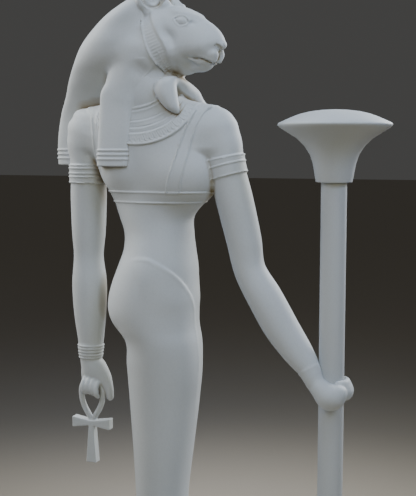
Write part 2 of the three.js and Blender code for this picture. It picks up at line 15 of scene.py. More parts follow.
import bmesh
import bpy
import numpy as np
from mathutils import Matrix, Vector


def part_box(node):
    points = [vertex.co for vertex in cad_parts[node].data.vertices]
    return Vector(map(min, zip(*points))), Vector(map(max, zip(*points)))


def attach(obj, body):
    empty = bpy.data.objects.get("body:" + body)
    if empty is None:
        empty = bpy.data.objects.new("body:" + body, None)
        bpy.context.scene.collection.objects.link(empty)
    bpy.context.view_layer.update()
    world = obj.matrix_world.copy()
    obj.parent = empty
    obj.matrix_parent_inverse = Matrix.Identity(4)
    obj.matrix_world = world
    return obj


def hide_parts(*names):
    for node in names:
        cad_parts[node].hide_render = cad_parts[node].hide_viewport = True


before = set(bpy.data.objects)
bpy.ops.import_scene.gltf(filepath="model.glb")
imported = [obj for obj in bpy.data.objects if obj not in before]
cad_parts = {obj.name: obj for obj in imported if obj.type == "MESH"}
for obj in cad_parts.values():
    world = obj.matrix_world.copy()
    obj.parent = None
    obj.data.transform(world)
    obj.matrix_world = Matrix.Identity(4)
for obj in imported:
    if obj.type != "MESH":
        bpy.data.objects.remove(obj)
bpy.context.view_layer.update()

LOG = logging.getLogger("statue")

Points = np.ndarray
Values = np.ndarray
Stations = Sequence[Sequence[float]]
Corner = tuple[float, float, float]
Colour = tuple[float, float, float]
Feed = bpy.types.NodeSocket | float | tuple[float, ...]

# The coordinates of a place, also in the head's own frame.
FORWARD, SIDE, UP = 0, 1, 2

# Sizes in squares: the distance given to places too far off to matter, the height from sole to crown, where
# the left fist grips the staff, the staff's radius there, and the gap between the fist and the staff.
FAR = 1.5
HEIGHT_IN_SQUARES = 19.69
GRIP_FORWARD = 5.48
GRIP_UP = 7.62
SHAFT = 0.38
GAP = 0.003

# The head's turn towards the figure's right, in degrees.
HEAD_TURN = 10.0


class Stock(Enum):
    """How fine a piece of stone is worked: the size of the marks left by the tools, in metres."""

    CARVED = 0.0021
    TURNED = 0.0014
    DRESSED = 0.0034


@dataclass(frozen=True)
class Canon:
    """The canon of squares, which carries the figure's proportions into the row frame.

    Attributes:
        square: Length of one square in metres.
        leg_axis_y: Where the leg axis stands along Y.
        sole_z: Height of the soles.
    """

    square: float
    leg_axis_y: float
    sole_z: float

    @classmethod
    def from_frame(cls) -> "Canon":
        """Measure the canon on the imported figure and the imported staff.

        Returns:
            The canon, with its leg axis and soles where the figure has them.
        """
        low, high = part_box("figure")
        staff_low, staff_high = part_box("papyrus_staff")
        square = (high.z - low.z) / HEIGHT_IN_SQUARES
        return cls(square, (staff_low.y + staff_high.y) / 2 + GRIP_FORWARD * square, low.z)

    def to_metres(self, points: Points) -> Points:
        """Turn places in squares into places in the row frame.

        Args:
            points: Places in squares.

        Returns:
            Places in metres.
        """
        x = -points[:, SIDE] * self.square
        y = self.leg_axis_y - points[:, FORWARD] * self.square
        z = self.sole_z + points[:, UP] * self.square
        return np.stack([x, y, z], axis=1)


def smooth_step(values: Values, low: float, high: float) -> Values:
    """Rise smoothly from 0 at low to 1 at high; high may be the smaller of the two."""
    share = np.clip((values - low) / (high - low), 0.0, 1.0)
    return share * share * (3.0 - 2.0 * share)


def ridge(values: Values, centre: float, width: float) -> Values:
    """A rounded ridge of height 1 around one value."""
    return np.exp(-(((values - centre) / width) ** 2))


def plateau(values: Values, low: float, high: float, soft: float) -> Values:
    """1 between two values, with soft shoulders just inside them."""
    return smooth_step(values, low, low + soft) * smooth_step(values, high, high - soft)


def join(first: Values, second: Values, blend: float) -> Values:
    """Join two distance fields with a fillet of about the given size."""
    share = np.clip(0.5 + 0.5 * (second - first) / blend, 0.0, 1.0)
    return second * (1.0 - share) + first * share - blend * share * (1.0 - share)


def cut(body: Values, tool: Values, blend: float) -> Values:
    """Cut a tool's field out of a body, with a rounded edge."""
    return -join(-body, tool, blend)


def common(first: Values, second: Values, blend: float) -> Values:
    """Keep what two fields have in common, with a rounded edge."""
    return -join(-first, -second, blend)


def mirrored(points: Points) -> Points:
    """Fold places onto the right, for a form that is the same on both sides."""
    return np.stack([points[:, FORWARD], np.abs(points[:, SIDE]), points[:, UP]], axis=1)


def turned(first: Values, second: Values, degrees: float) -> tuple[Values, Values]:
    """Measure two coordinates along axes that are turned from the first towards the second."""
    cosine, sine = math.cos(math.radians(degrees)), math.sin(math.radians(degrees))
    return first * cosine + second * sine, second * cosine - first * sine


def smooth_between(
    share: np.ndarray, span: np.ndarray | float, ends: Sequence[np.ndarray], slopes: Sequence[np.ndarray]
) -> np.ndarray:
    """Places on a smooth curve between two ends.

    Args:
        share: How far along the curve each place is, from 0 to 1.
        span: The length between both ends, in the measure of the slopes.
        ends: The rows at the start and at the end.
        slopes: The slopes at the start and at the end.

    Returns:
        One row for each place.
    """
    square, cube = share**2, share**3
    rows = (2 * cube - 3 * square + 1) * ends[0]
    rows = rows + (cube - 2 * square + share) * span * slopes[0]
    rows = rows + (3 * square - 2 * cube) * ends[1]
    return rows + (cube - square) * span * slopes[1]


def smooth_line(corners: Stations) -> np.ndarray:
    """A bent line made round, with three new places between each two of its corners.

    Args:
        corners: The line's corners, with any number of coordinates.

    Returns:
        Rows of the smooth line.
    """
    rows = np.array(corners, float)
    slope = np.gradient(rows, axis=0)
    share = np.linspace(0.0, 1.0, 5)[:-1, None]
    parts = [smooth_between(share, 1.0, rows[i:i + 2], slope[i:i + 2]) for i in range(len(rows) - 1)]
    return np.vstack([*parts, rows[-1:]])


def along_line(points: Points, axes: tuple[int, int], line: Stations) -> tuple[Values, Values]:
    """Measure points against a bent line drawn in one plane.

    Args:
        points: Places in squares.
        axes: The two coordinates of the plane.
        line: The line's corners in that plane.

    Returns:
        The distance to the line, positive on its left hand, and the share of its length.
    """
    flat = points[:, axes]
    corners = np.array(line, float)
    lengths = np.linalg.norm(np.diff(corners, axis=0), axis=1)
    starts = np.concatenate([[0.0], np.cumsum(lengths)])
    best = np.full(len(points), np.inf)
    signed = np.zeros(len(points))
    share = np.zeros(len(points))
    for start, end, length, before in zip(corners[:-1], corners[1:], lengths, starts):
        step = (end - start) / length
        rel = flat - start
        along = np.clip(rel @ step, 0.0, length)
        gap = rel - along[:, None] * step
        distance = np.linalg.norm(gap, axis=1)
        closer = distance < best
        best = np.where(closer, distance, best)
        turn = step[0] * rel[:, 1] - step[1] * rel[:, 0]
        signed = np.where(closer, np.where(turn > 0, distance, -distance), signed)
        share = np.where(closer, (before + along) / starts[-1], share)
    return signed, share


@dataclass(frozen=True)
class Loft:
    """A form swept along one axis through oval sections.

    Attributes:
        stations: Place on the axis, two centres, two half sizes, power of the oval, taper.
        along: The axis of the sweep.
        leaning: Whether the sections stand square to a leaning path.
        edge: Rounding of the two ends.
        samples: Number of places at which the smooth curve through the stations is known.
        room: How far outside the form its distance is still worked out, in squares.
    """

    stations: Stations
    along: int = UP
    leaning: bool = False
    edge: float = 0.04
    samples: int = 400
    room: float = 0.7

    @property
    def others(self) -> tuple[int, ...]:
        """The two axes that the sections lie in."""
        return tuple(axis for axis in (FORWARD, SIDE, UP) if axis != self.along)

    @cached_property
    def table(self) -> np.ndarray:
        """The stations as one smooth curve, sampled closely.

        Returns:
            Rows of the place on the axis, the stations' other columns and the lean of both centres.
        """
        rows = np.array(sorted(tuple(station) for station in self.stations), float)
        at, values = rows[:, 0], rows[:, 1:]
        slope = np.gradient(values, at, axis=0)
        samples = np.linspace(at[0], at[-1], self.samples)
        i = np.clip(np.searchsorted(at, samples) - 1, 0, len(at) - 2)
        span = (at[i + 1] - at[i])[:, None]
        share = (samples - at[i])[:, None] / span
        curve = smooth_between(share, span, (values[i], values[i + 1]), (slope[i], slope[i + 1]))
        lean = np.gradient(curve[:, :2], samples, axis=0)
        return np.column_stack([samples, curve, lean])

    @cached_property
    def reach(self) -> tuple[np.ndarray, np.ndarray]:
        """The room in which the form matters.

        Returns:
            Its lowest and its highest corner.
        """
        table = self.table
        low, high = np.zeros(3), np.zeros(3)
        low[self.along], high[self.along] = table[0, 0], table[-1, 0]
        for axis, centre, half in zip(self.others, (1, 2), (3, 4)):
            low[axis] = (table[:, centre] - table[:, half]).min()
            high[axis] = (table[:, centre] + table[:, half]).max()
        return low - self.room, high + self.room

    def sections(self, at: Values) -> list[Values]:
        """Every column of the smooth curve at places along the axis."""
        table = self.table
        return [np.interp(at, table[:, 0], table[:, k]) for k in range(1, table.shape[1])]

    def station_of(self, points: Points) -> Values:
        """The place along the axis whose section holds each point.

        Args:
            points: Places in squares.

        Returns:
            One place along the axis for each point.
        """
        at = points[:, self.along]
        if not self.leaning:
            return at
        first, second = self.others
        place = at
        for _ in range(2):
            columns = self.sections(place)
            lean_1, lean_2 = columns[-2:]
            offset = (points[:, first] - columns[0]) * lean_1 + (points[:, second] - columns[1]) * lean_2
            place = place + (offset + at - place) / (1.0 + lean_1**2 + lean_2**2)
        return place

    def distance(self, points: Points) -> Values:
        """Distance of points to the form, in squares, negative inside.

        Args:
            points: Places in squares.

        Returns:
            One distance for each place.
        """
        low, high = self.reach
        near = np.all((points > low) & (points < high), axis=1)
        out = np.full(len(points), FAR)
        if near.any():
            out[near] = self._near(points[near])
        return out

    def _near(self, points: Points) -> Values:
        """Distance of points that are close enough to matter.

        Args:
            points: Places in squares.

        Returns:
            One distance for each place.
        """
        first, second = self.others
        at = self.station_of(points)
        centre_1, centre_2, half_1, half_2, power, taper, lean_1, lean_2 = self.sections(at)
        across, upward = points[:, first] - centre_1, points[:, second] - centre_2
        if self.leaning:
            beside = points[:, self.along] - at
            across = (across - beside * lean_1) / np.sqrt(1.0 + lean_1**2)
            upward = (upward - beside * lean_2) / np.sqrt(1.0 + lean_2**2)
        share_2 = np.abs(upward) / half_2
        half_1 = half_1 * (1.0 - taper * np.clip(upward / half_2, -1.0, 1.0))
        share_1 = np.abs(across) / half_1
        size = np.maximum((share_1**power + share_2**power) ** (1.0 / power), 1e-3)
        slope_1 = (share_1 / size) ** (power - 1.0) / half_1
        slope_2 = (share_2 / size) ** (power - 1.0) / half_2
        side = (size - 1.0) / np.maximum(np.hypot(slope_1, slope_2), 0.3)
        ends = np.maximum(at - self.table[-1, 0], self.table[0, 0] - at)
        return common(side, ends, self.edge)


@dataclass(frozen=True)
class Egg:
    """An egg-shaped swelling.

    Attributes:
        centre: Its middle.
        radii: Half its length, breadth and height.
        tip: How far it is tipped nose-down, in degrees.
        turn: How far it is then turned outwards, in degrees.
    """

    centre: Sequence[float]
    radii: Sequence[float]
    tip: float = 0.0
    turn: float = 0.0

    def distance(self, points: Points) -> Values:
        """Distance of points to the swelling, in squares, negative inside.

        Args:
            points: Places in squares.

        Returns:
            One distance for each place.
        """
        forward, side, up = (points - np.array(self.centre)).T
        ahead, beside = turned(forward, side, self.turn)
        ahead, up = turned(ahead, up, -self.tip)
        scaled = np.stack([ahead, beside, up], axis=1) / np.array(self.radii)
        size = np.maximum(np.linalg.norm(scaled, axis=1), 1e-4)
        steep = np.linalg.norm(scaled / np.array(self.radii), axis=1)
        return size * (size - 1.0) / np.maximum(steep, 1e-4)


@dataclass(frozen=True)
class Tube:
    """A round body along a bent path.

    Attributes:
        stations: Forward, side, up and radius at each place of the path.
        room: How far outside the body its distance is still worked out, in squares.
    """

    stations: Stations
    room: float = 0.5

    @cached_property
    def path(self) -> np.ndarray:
        """The path as a smooth curve of short pieces."""
        return smooth_line(self.stations)

    def distance(self, points: Points) -> Values:
        """Distance of points to the body, in squares, negative inside.

        Args:
            points: Places in squares.

        Returns:
            One distance for each place.
        """
        path = self.path
        margin = path[:, 3].max() + self.room
        low, high = path[:, :3].min(axis=0) - margin, path[:, :3].max(axis=0) + margin
        near = np.all((points > low) & (points < high), axis=1)
        out = np.full(len(points), FAR)
        close = points[near]
        best = np.full(len(close), FAR)
        for start, end in zip(path[:-1], path[1:]):
            step = end[:3] - start[:3]
            share = np.clip((close - start[:3]) @ step / (step @ step), 0.0, 1.0)
            gap = close - start[:3] - share[:, None] * step
            radius = start[3] + share * (end[3] - start[3])
            best = np.minimum(best, np.linalg.norm(gap, axis=1) - radius)
        out[near] = best
        return out


def limb(stations: Stations) -> Loft:
    """A leaning limb. Stations: forward, side, up, radius in the profile, radius to the side."""
    rows = [(up, ahead, side, deep, wide, 2.0, 0.0) for ahead, side, up, deep, wide in stations]
    return Loft(rows, leaning=True, edge=0.22)


def column(stations: Stations, edge: float = 0.04) -> Loft:
    """A standing form. Stations: up, forward, side, half depth, half breadth, power."""
    return Loft([(*station, 0.0) for station in stations], edge=edge)


def facing(stations: Stations) -> Loft:
    """Make a form along the line of sight.

    Args:
        stations: Forward, low, high, half breadth, power and taper at each place.

    Returns:
        The form.
    """
    rows = [
        (ahead, 0.0, (low + high) / 2, breadth, (high - low) / 2, power, taper)
        for ahead, low, high, breadth, power, taper in stations
    ]
    return Loft(rows, along=FORWARD, edge=0.10)


NECK = column((
    (17.60, -0.38, 0, 0.80, 0.70, 2),
    (17.20, -0.40, 0, 0.92, 0.84, 2.2),
    (16.85, -0.40, 0, 1.00, 0.95, 2.4),
    (16.50, -0.40, 0, 1.05, 0.99, 2.5),
    (16.20, -0.40, 0, 1.10, 0.98, 2.5),
    (16.00, -0.40, 0, 1.18, 0.95, 2.4),
    (15.70, -0.40, 0, 1.25, 0.88, 2.2),
))

THROAT_HOLLOW = Egg((0.68, 0.26, 16.50), (0.20, 0.20, 0.15))
THROAT_FILLET = 0.08


@dataclass(frozen=True)
class BroadCollar:
    """The broad collar: rows of beads between grooves, a row of petals and a rounded rim.

    Attributes:
        throat: Level, half width, drop and middle of its oval at the neck.
        rim: The same at its outer rim.
        grooves: The rows at which the bead rows part: 0 at the neck, 1 at the rim.
        petals: First and last row of the petals.
        petal_count: Number of petals from shoulder to shoulder.
        plate: How far the collar stands over the dress, in squares.
        groove_depth: Depth of the grooves.
        bead_height: Height of the beads beside each groove.
        edge_heights: Height of the thin ridge at the neck and of the rounded rim.
        petal_height: Height of the petals.
        petal_bed: How far the ground between the petals is sunk.
        back_edge: Where the collar fades out under the wig's rear fall.
    """

    throat: tuple[float, float, float, float] = (16.42, 1.05, 0.39, -0.75)
    rim: tuple[float, float, float, float] = (16.16, 1.73, 1.27, -0.36)
    grooves: tuple[float, ...] = (0.087, 0.358, 0.535, 0.668)
    petals: tuple[float, float] = (0.690, 0.915)
    petal_count: int = 32
    plate: float = 0.030
    groove_depth: float = 0.018
    bead_height: float = 0.013
    edge_heights: tuple[float, float] = (0.014, 0.030)
    petal_height: float = 0.022
    petal_bed: float = 0.014
    back_edge: tuple[float, float] = (-1.95, -1.82)

    def row_of(self, points: Points) -> tuple[Values, Values]:
        """Row of each place, and its turn round the oval in radians.

        Args:
            points: Places in squares.

        Returns:
            The rows, 0 at the neck and 1 at the rim, and the turns.
        """
        low, high = np.full(len(points), -0.30), np.full(len(points), 1.6)
        for _ in range(14):
            row = (low + high) / 2
            level, wide, deep, middle = (
                first + row * (last - first) for first, last in zip(self.throat, self.rim)
            )
            across = points[:, FORWARD] - middle
            below = np.maximum(level - points[:, UP], 0.0)
            outside = (across / wide) ** 2 + (below / deep) ** 2 > 1.0
            low = np.where(outside, row, low)
            high = np.where(outside, high, row)
        return (low + high) / 2, np.arctan2(below / deep, across / wide)

    def relief(self, points: Points) -> Values:
        """Height of the collar's carving above the chest, in squares.

        Args:
            points: Places in squares.

        Returns:
            One height for each place.
        """
        out = np.zeros(len(points))
        up, middle = points[:, UP], self.rim[3]
        near = (up > 14.7) & (up < 16.6) & (np.abs(points[:, FORWARD] - middle) < 2.1)
        close = points[near]
        row, turn = self.row_of(close)
        height = self.plate * plateau(row, 0.0, 1.01, 0.02)
        height += self.edge_heights[0] * ridge(row, 0.022, 0.022)
        for groove in self.grooves:
            height -= self.groove_depth * ridge(row, groove, 0.015)
            height += self.bead_height * ridge(row, groove + 0.040, 0.028)
        height += self.edge_heights[1] * ridge(row, 0.966, 0.034)
        first, last = self.petals
        place = np.abs((turn / math.pi * self.petal_count) % 1.0 - 0.5)
        length = np.clip((row - first) / (last - first), 0.0, 1.0)
        half = 0.44 * np.sqrt(np.clip(1.0 - ((length - 0.70) / 0.32).clip(0) ** 2, 0.0, 1.0))
        edge = place - half
        petal = smooth_step(edge, 0.09, -0.09) + 0.4 * ridge(edge, -0.10, 0.09)
        height += self.petal_height * petal * plateau(row, first, last + 0.02, 0.03)
        height -= self.petal_bed * plateau(row, first, last, 0.03)
        out[near] = height * smooth_step(close[:, FORWARD], *self.back_edge)
        return out


@dataclass(frozen=True)
class SheathDress:
    """The close dress: shoulder straps, the band under the breasts and the line over the hip.

    Attributes:
        left_strap: Forward and up of the left strap's inner edge.
        left_strap_outer: The same for its outer edge.
        right_strap: The same for the right strap's inner edge.
        right_strap_outer: The same for its outer edge.
        hip: The line over the hip: degrees round the body, and level.
        hip_radius: Radius on which the line is measured.
        hip_axis: Where that round's axis stands, forward.
        band: Lower and upper edge of the band under the breasts.
        seams: Heights of a strap's two edges, in squares. What follows are heights as well.
    """

    left_strap: Stations = (
        (1.37, 15.94), (1.28, 15.71), (1.17, 15.44), (1.06, 15.12), (0.97, 14.80), (0.88, 14.43),
        (0.74, 13.98), (0.61, 13.46),
    )
    left_strap_outer: Stations = (
        (1.78, 16.06), (1.68, 15.94), (1.57, 15.78), (1.46, 15.50), (1.37, 15.20), (1.29, 14.88),
        (1.22, 14.45), (1.11, 13.92), (1.00, 13.46),
    )
    right_strap: Stations = ((-1.75, 15.80), (-1.68, 15.23), (-1.74, 14.12), (-1.35, 13.46))
    right_strap_outer: Stations = ((-2.05, 15.73), (-1.95, 15.20), (-1.90, 14.24), (-1.43, 13.46))
    hip: Stations = (
        (125, 11.20), (103, 11.45), (85, 11.48), (71, 11.36), (47, 11.00), (25, 10.50), (10, 9.95),
        (4.5, 9.30), (4, 8.60), (4, 7.80), (4, 6.90), (4, 6.00),
    )
    hip_radius: float = 1.28
    hip_axis: float = -0.12
    band: tuple[float, float] = (13.14, 13.46)
    seams: tuple[float, float] = (0.060, 0.040)
    strap_plate: float = 0.014
    band_plate: float = 0.012
    band_edge: float = 0.034
    hip_step: float = 0.036

    def straps(self, points: Points) -> Values:
        """Height of the two shoulder straps at places on the chest, in squares.

        A strap lies to the left of its first edge and to the right of its second, as both run down.

        Args:
            points: Places in squares.

        Returns:
            One height for each place.
        """
        height = np.zeros(len(points))
        pairs = ((self.left_strap, self.left_strap_outer), (self.right_strap_outer, self.right_strap))
        for first, second in pairs:
            past_first, _ = along_line(points, (FORWARD, UP), smooth_line(first))
            past_second, _ = along_line(points, (FORWARD, UP), smooth_line(second))
            height += self.seams[0] * ridge(past_first, 0.0, 0.026)
            height += self.seams[1] * ridge(past_second, 0.0, 0.023)
            between = smooth_step(past_first, -0.02, 0.02) * smooth_step(past_second, 0.02, -0.02)
            height += self.strap_plate * between
        height *= 0.4 + 0.6 * smooth_step(points[:, FORWARD], -1.2, -0.8)
        return height * smooth_step(points[:, SIDE], 0.15, 0.35)

    def hip_line(self, points: Points) -> Values:
        """Height of the step along the line over the hip, at places on the legs, in squares.

        Args:
            points: Places in squares.

        Returns:
            One height for each place.
        """
        turn = np.arctan2(points[:, SIDE], points[:, FORWARD] - self.hip_axis)
        flat = np.stack([-turn * self.hip_radius, points[:, UP]], axis=1)
        line = smooth_line([(-math.radians(angle) * self.hip_radius, level) for angle, level in self.hip])
        distance, share = along_line(flat, (0, 1), line)
        step = smooth_step(distance, 0.045, -0.045) + 0.5 * ridge(distance, -0.06, 0.06)
        fade = smooth_step(share, 1.0, 0.70) * smooth_step(share, 0.02, 0.20)
        return self.hip_step * step * fade * smooth_step(np.abs(distance), 1.3, 0.5)

    def relief(self, points: Points) -> Values:
        """Height of the dress's carving, in squares.

        Args:
            points: Places in squares.

        Returns:
            One height for each place.
        """
        up = points[:, UP]
        out = self.band_plate * plateau(up, self.band[0] - 0.03, self.band[1] + 0.03, 0.03)
        for edge in self.band:
            out += self.band_edge * ridge(up, edge, 0.024)
        chest = (points[:, SIDE] > 0.15) & (up > 13.4) & (up < 16.2)
        out[chest] += self.straps(points[chest])
        legs = (up > 5.8) & (up < 11.9) & (points[:, SIDE] > -0.6)
        out[legs] += self.hip_line(points[legs])
        return out


@dataclass(frozen=True)
class Armlet:
    """A ridged band round an arm.

    Attributes:
        low: Lower edge, as a level along the limb.
        high: Upper edge.
        ridges: Levels of its ridges.
        plate: How far it stands over the skin, in squares.
        ridge_height: Height of the ridges.
        ridge_width: Their width.
    """

    low: float
    high: float
    ridges: tuple[float, ...]
    plate: float = 0.045
    ridge_height: float = 0.030
    ridge_width: float = 0.024

    def relief(self, level: Values) -> Values:
        """Height of the band over the skin, in squares, at levels along the limb.

        Args:
            level: Levels along the limb.

        Returns:
            One height for each place.
        """
        out = self.plate * plateau(level, self.low - 0.02, self.high + 0.02, 0.03)
        for place in self.ridges:
            out += self.ridge_height * ridge(level, place, self.ridge_width)
        return out


@dataclass(frozen=True)
class Body:
    """Torso, neck, arms, hands and feet in the sheath dress.

    Attributes:
        torso_stations: Stations of the trunk, as for a column.
        seat: The seat's swelling, on both sides.
        breasts: Each breast's swelling, and the fillet round it.
        knuckles: Forward place and level of each finger of the right hand.
        gripping: Level over the grip and thickness of each finger round the staff.
        foot_stations: Up, forward, half depth, half breadth and power of a foot, from its own place.
        toes: Forward, outward and size of each toe.
        stance: Forward and side of both feet.
        neck_fillet: The fillet between trunk and neck; the other fillets are named in the same way.
    """

    torso_stations: Stations = (
        (0.92, 0.06, 0, 0.84, 0.98, 2.4),
        (2.20, 0.00, 0, 0.77, 0.96, 2.3),
        (3.60, -0.02, 0, 0.785, 1.02, 2.2),
        (5.20, 0.03, 0, 0.935, 1.10, 2.1),
        (6.77, 0.07, 0, 1.10, 1.20, 2),
        (8.00, 0.08, 0, 1.19, 1.32, 2),
        (8.82, 0.03, 0, 1.20, 1.41, 2),
        (9.20, -0.15, 0, 1.31, 1.46, 2),
        (9.65, -0.28, 0, 1.43, 1.50, 2),
        (10.15, -0.265, 0, 1.44, 1.50, 2),
        (10.63, -0.21, 0, 1.355, 1.46, 2),
        (11.15, -0.12, 0, 1.24, 1.38, 2),
        (11.66, -0.065, 0, 1.125, 1.22, 2),
        (12.17, -0.085, 0, 1.105, 1.08, 2),
        (12.67, -0.165, 0, 1.205, 1.03, 2),
        (13.05, -0.11, 0, 1.40, 1.03, 2),
        (13.43, 0.00, 0, 1.61, 1.06, 2.1),
        (13.95, -0.10, 0, 1.76, 1.12, 2.2),
        (14.50, -0.25, 0, 1.95, 1.14, 2.3),
        (15.10, -0.34, 0, 2.20, 1.10, 2.3),
        (15.60, -0.36, 0, 2.34, 0.98, 2.2),
        (15.90, -0.36, 0, 2.24, 0.84, 2.1),
        (16.10, -0.30, 0, 1.98, 0.70, 2),
        (16.25, -0.30, 0, 1.25, 0.64, 2),
        (16.60, -0.20, 0, 0.74, 0.62, 2),
        (17.45, -0.15, 0, 0.74, 0.64, 2),
    )
    seat: Egg = Egg((-1.00, 0.50, 9.58), (0.36, 0.60, 0.41))
    breasts: tuple[tuple[Egg, float], ...] = (
        (Egg((-1.06, 0.33, 14.10), (0.66, 0.72, 0.70)), 0.45),
        (Egg((0.92, 0.33, 13.98), (0.84, 0.68, 0.68)), 0.75),
    )
    right_arm: Loft = limb((
        (-2.05, 0, 15.72, 0.40, 0.42),
        (-2.38, 0, 15.44, 0.70, 0.62),
        (-2.54, 0, 15.05, 0.67, 0.66),
        (-2.54, 0, 14.45, 0.58, 0.62),
        (-2.55, 0, 13.10, 0.57, 0.59),
        (-2.56, 0, 12.07, 0.535, 0.55),
        (-2.575, 0, 11.35, 0.475, 0.50),
        (-2.545, 0.03, 10.50, 0.56, 0.54),
        (-2.52, 0.06, 9.43, 0.52, 0.50),
        (-2.49, 0.09, 8.60, 0.42, 0.42),
        (-2.49, 0.10, 8.20, 0.375, 0.37),
        (-2.485, 0.10, 7.92, 0.355, 0.34),
        (-2.40, 0.08, 7.60, 0.45, 0.36),
        (-2.34, 0.04, 7.25, 0.50, 0.34),
        (-2.31, 0.00, 6.90, 0.46, 0.28),
    ))
    left_arm: Loft = limb((
        (1.46, 0, 15.74, 0.40, 0.42),
        (1.72, 0, 15.42, 0.68, 0.62),
        (1.92, 0, 15.02, 0.66, 0.66),
        (2.11, 0, 14.30, 0.57, 0.62),
        (2.41, 0, 13.20, 0.565, 0.59),
        (2.71, 0, 12.00, 0.535, 0.55),
        (2.93, 0.02, 11.05, 0.485, 0.50),
        (3.40, 0.06, 10.28, 0.53, 0.54),
        (4.01, 0.14, 9.32, 0.515, 0.50),
        (4.58, 0.24, 8.60, 0.42, 0.43),
        (4.87, 0.32, 8.25, 0.335, 0.35),
        (5.11, 0.44, 7.82, 0.255, 0.27),
    ))
    right_band: Armlet = Armlet(13.70, 14.27, (14.27, 14.16, 14.00, 13.89, 13.70))
    left_band: Armlet = Armlet(13.95, 14.50, (14.50, 14.28, 13.95))
    bracelet: Armlet = Armlet(8.02, 8.42, (8.42, 8.32, 8.22, 8.12, 8.02), 0.020, 0.030, 0.026)
    cuff: Armlet = Armlet(7.82, 8.22, (8.22, 7.82), 0.016, 0.014, 0.022)
    collar: BroadCollar = BroadCollar()
    dress: SheathDress = SheathDress()
    knuckles: Stations = ((-2.58, 7.34), (-2.43, 7.34), (-2.28, 7.30), (-2.13, 7.24))
    thumb: Tube = Tube((
        (-2.24, 0.12, 7.72, 0.17),
        (-1.98, 0.14, 7.36, 0.17),
        (-1.82, 0.18, 7.00, 0.15),
        (-1.77, 0.20, 6.76, 0.12),
    ))
    gripping: Stations = ((0.24, 0.09), (0.11, 0.12), (-0.03, 0.145), (-0.16, 0.125))
    foot_stations: Stations = (
        (0.00, 0.62, 1.20, 0.41, 2.6),
        (0.14, 0.62, 1.22, 0.43, 2.5),
        (0.30, 0.42, 1.02, 0.40, 2.3),
        (0.52, 0.10, 0.70, 0.35, 2.1),
        (0.80, -0.14, 0.44, 0.33, 2),
        (1.15, -0.20, 0.40, 0.33, 2),
    )
    toes: Stations = (
        (1.80, -0.27, 0.13), (1.758, -0.025, 0.088), (1.692, 0.11, 0.088), (1.582, 0.245, 0.088),
        (1.428, 0.38, 0.088),
    )
    stance: Stations = ((-0.40, 0.52), (0.40, -0.52))
    neck_fillet: float = 0.25
    seat_fillet: float = 0.22
    thumb_fillet: float = 0.20
    finger_fillet: float = 0.035
    wrist_fillet: float = 0.10
    fist_fillet: float = 0.09
    palm_fillet: float = 0.05
    toe_fillet: float = 0.05
    hem_fillet: float = 0.03

    @cached_property
    def torso(self) -> Loft:
        """The trunk from hem to neck."""
        return column(self.torso_stations, edge=0.05)

    @cached_property
    def right_fingers(self) -> list[Tube]:
        """Fingers curled round the ankh's loop.

        Returns:
            One round body for each finger.
        """
        return [
            Tube((
                (ahead, 0.02, top, 0.095),
                (ahead, 0.36, top - 0.02, 0.095),
                (ahead, 0.50, top - 0.16, 0.090),
                (ahead + 0.01, 0.50, top - 0.36, 0.085),
                (ahead + 0.02, 0.36, top - 0.46, 0.075),
            ))
            for ahead, top in self.knuckles
        ]

    @cached_property
    def left_hand(self) -> tuple[Tube, list[Tube]]:
        """The back of the fist before the shaft, and the fingers round it.

        Returns:
            The back of the fist, and one round body for each finger.
        """
        near = SHAFT + 0.18
        back = Tube((
            (GRIP_FORWARD - 0.37, 0.44, GRIP_UP + 0.20, 0.265),
            (GRIP_FORWARD - 0.12, near - 0.04, GRIP_UP + 0.01, 0.33),
            (GRIP_FORWARD + 0.10, near - 0.02, GRIP_UP - 0.14, 0.395),
            (GRIP_FORWARD + 0.31, near - 0.04, GRIP_UP - 0.04, 0.275),
            (GRIP_FORWARD + 0.40, near - 0.08, GRIP_UP + 0.02, 0.19),
        ))
        fingers = []
        turns = [math.radians(angle) for angle in (35, 75, 115, 155, 200)]
        for level, thick in self.gripping:
            out = SHAFT + thick * 1.05
            fingers.append(Tube([
                (GRIP_FORWARD + math.sin(turn) * out, math.cos(turn) * out, GRIP_UP + level, thick)
                for turn in turns
            ]))
        return back, fingers

    def foot(self, points: Points, forward: float, side: float) -> Values:
        """A bare foot flat on the ground, with five toes.

        Args:
            points: Places in squares.
            forward: How far forward of the leg axis the foot stands.
            side: How far to the side it stands.

        Returns:
            One distance for each place.
        """
        outer = math.copysign(1.0, side)
        rows = [(up, ahead + forward, side, *rest) for up, ahead, *rest in self.foot_stations]
        shape = column(rows, edge=0.05).distance(points)
        for ahead, across, size in self.toes:
            near = np.all(np.abs(points - (ahead + forward, side, 0.1)) < (0.9, 0.8, 0.7), axis=1)
            toe = Egg((ahead + forward, side + across * outer, size), (0.24, size, size))
            shape[near] = join(shape[near], toe.distance(points[near]), self.toe_fillet)
        return shape

    def relief(self, points: Points, trunk: Values) -> Values:
        """All low carving on the body, in squares, faded out away from the trunk.

        Args:
            points: Places in squares.
            trunk: Their distances to the trunk.

        Returns:
            One height for each place.
        """
        height = self.collar.relief(points) + self.dress.relief(points)
        reach = 0.08 + 0.34 * smooth_step(points[:, UP], 14.3, 14.8)
        return height * smooth_step(trunk, reach, reach * 0.4)

    def arm(self, points: Points, shape: Loft, bands: Sequence[Armlet]) -> Values:
        """One arm with its bands.

        Args:
            points: Places in squares.
            shape: The bare arm.
            bands: The bands on it.

        Returns:
            One distance for each place.
        """
        distance = shape.distance(points)
        near = distance < 0.6
        level = shape.station_of(points[near])
        distance[near] -= sum(band.relief(level) for band in bands)
        return distance

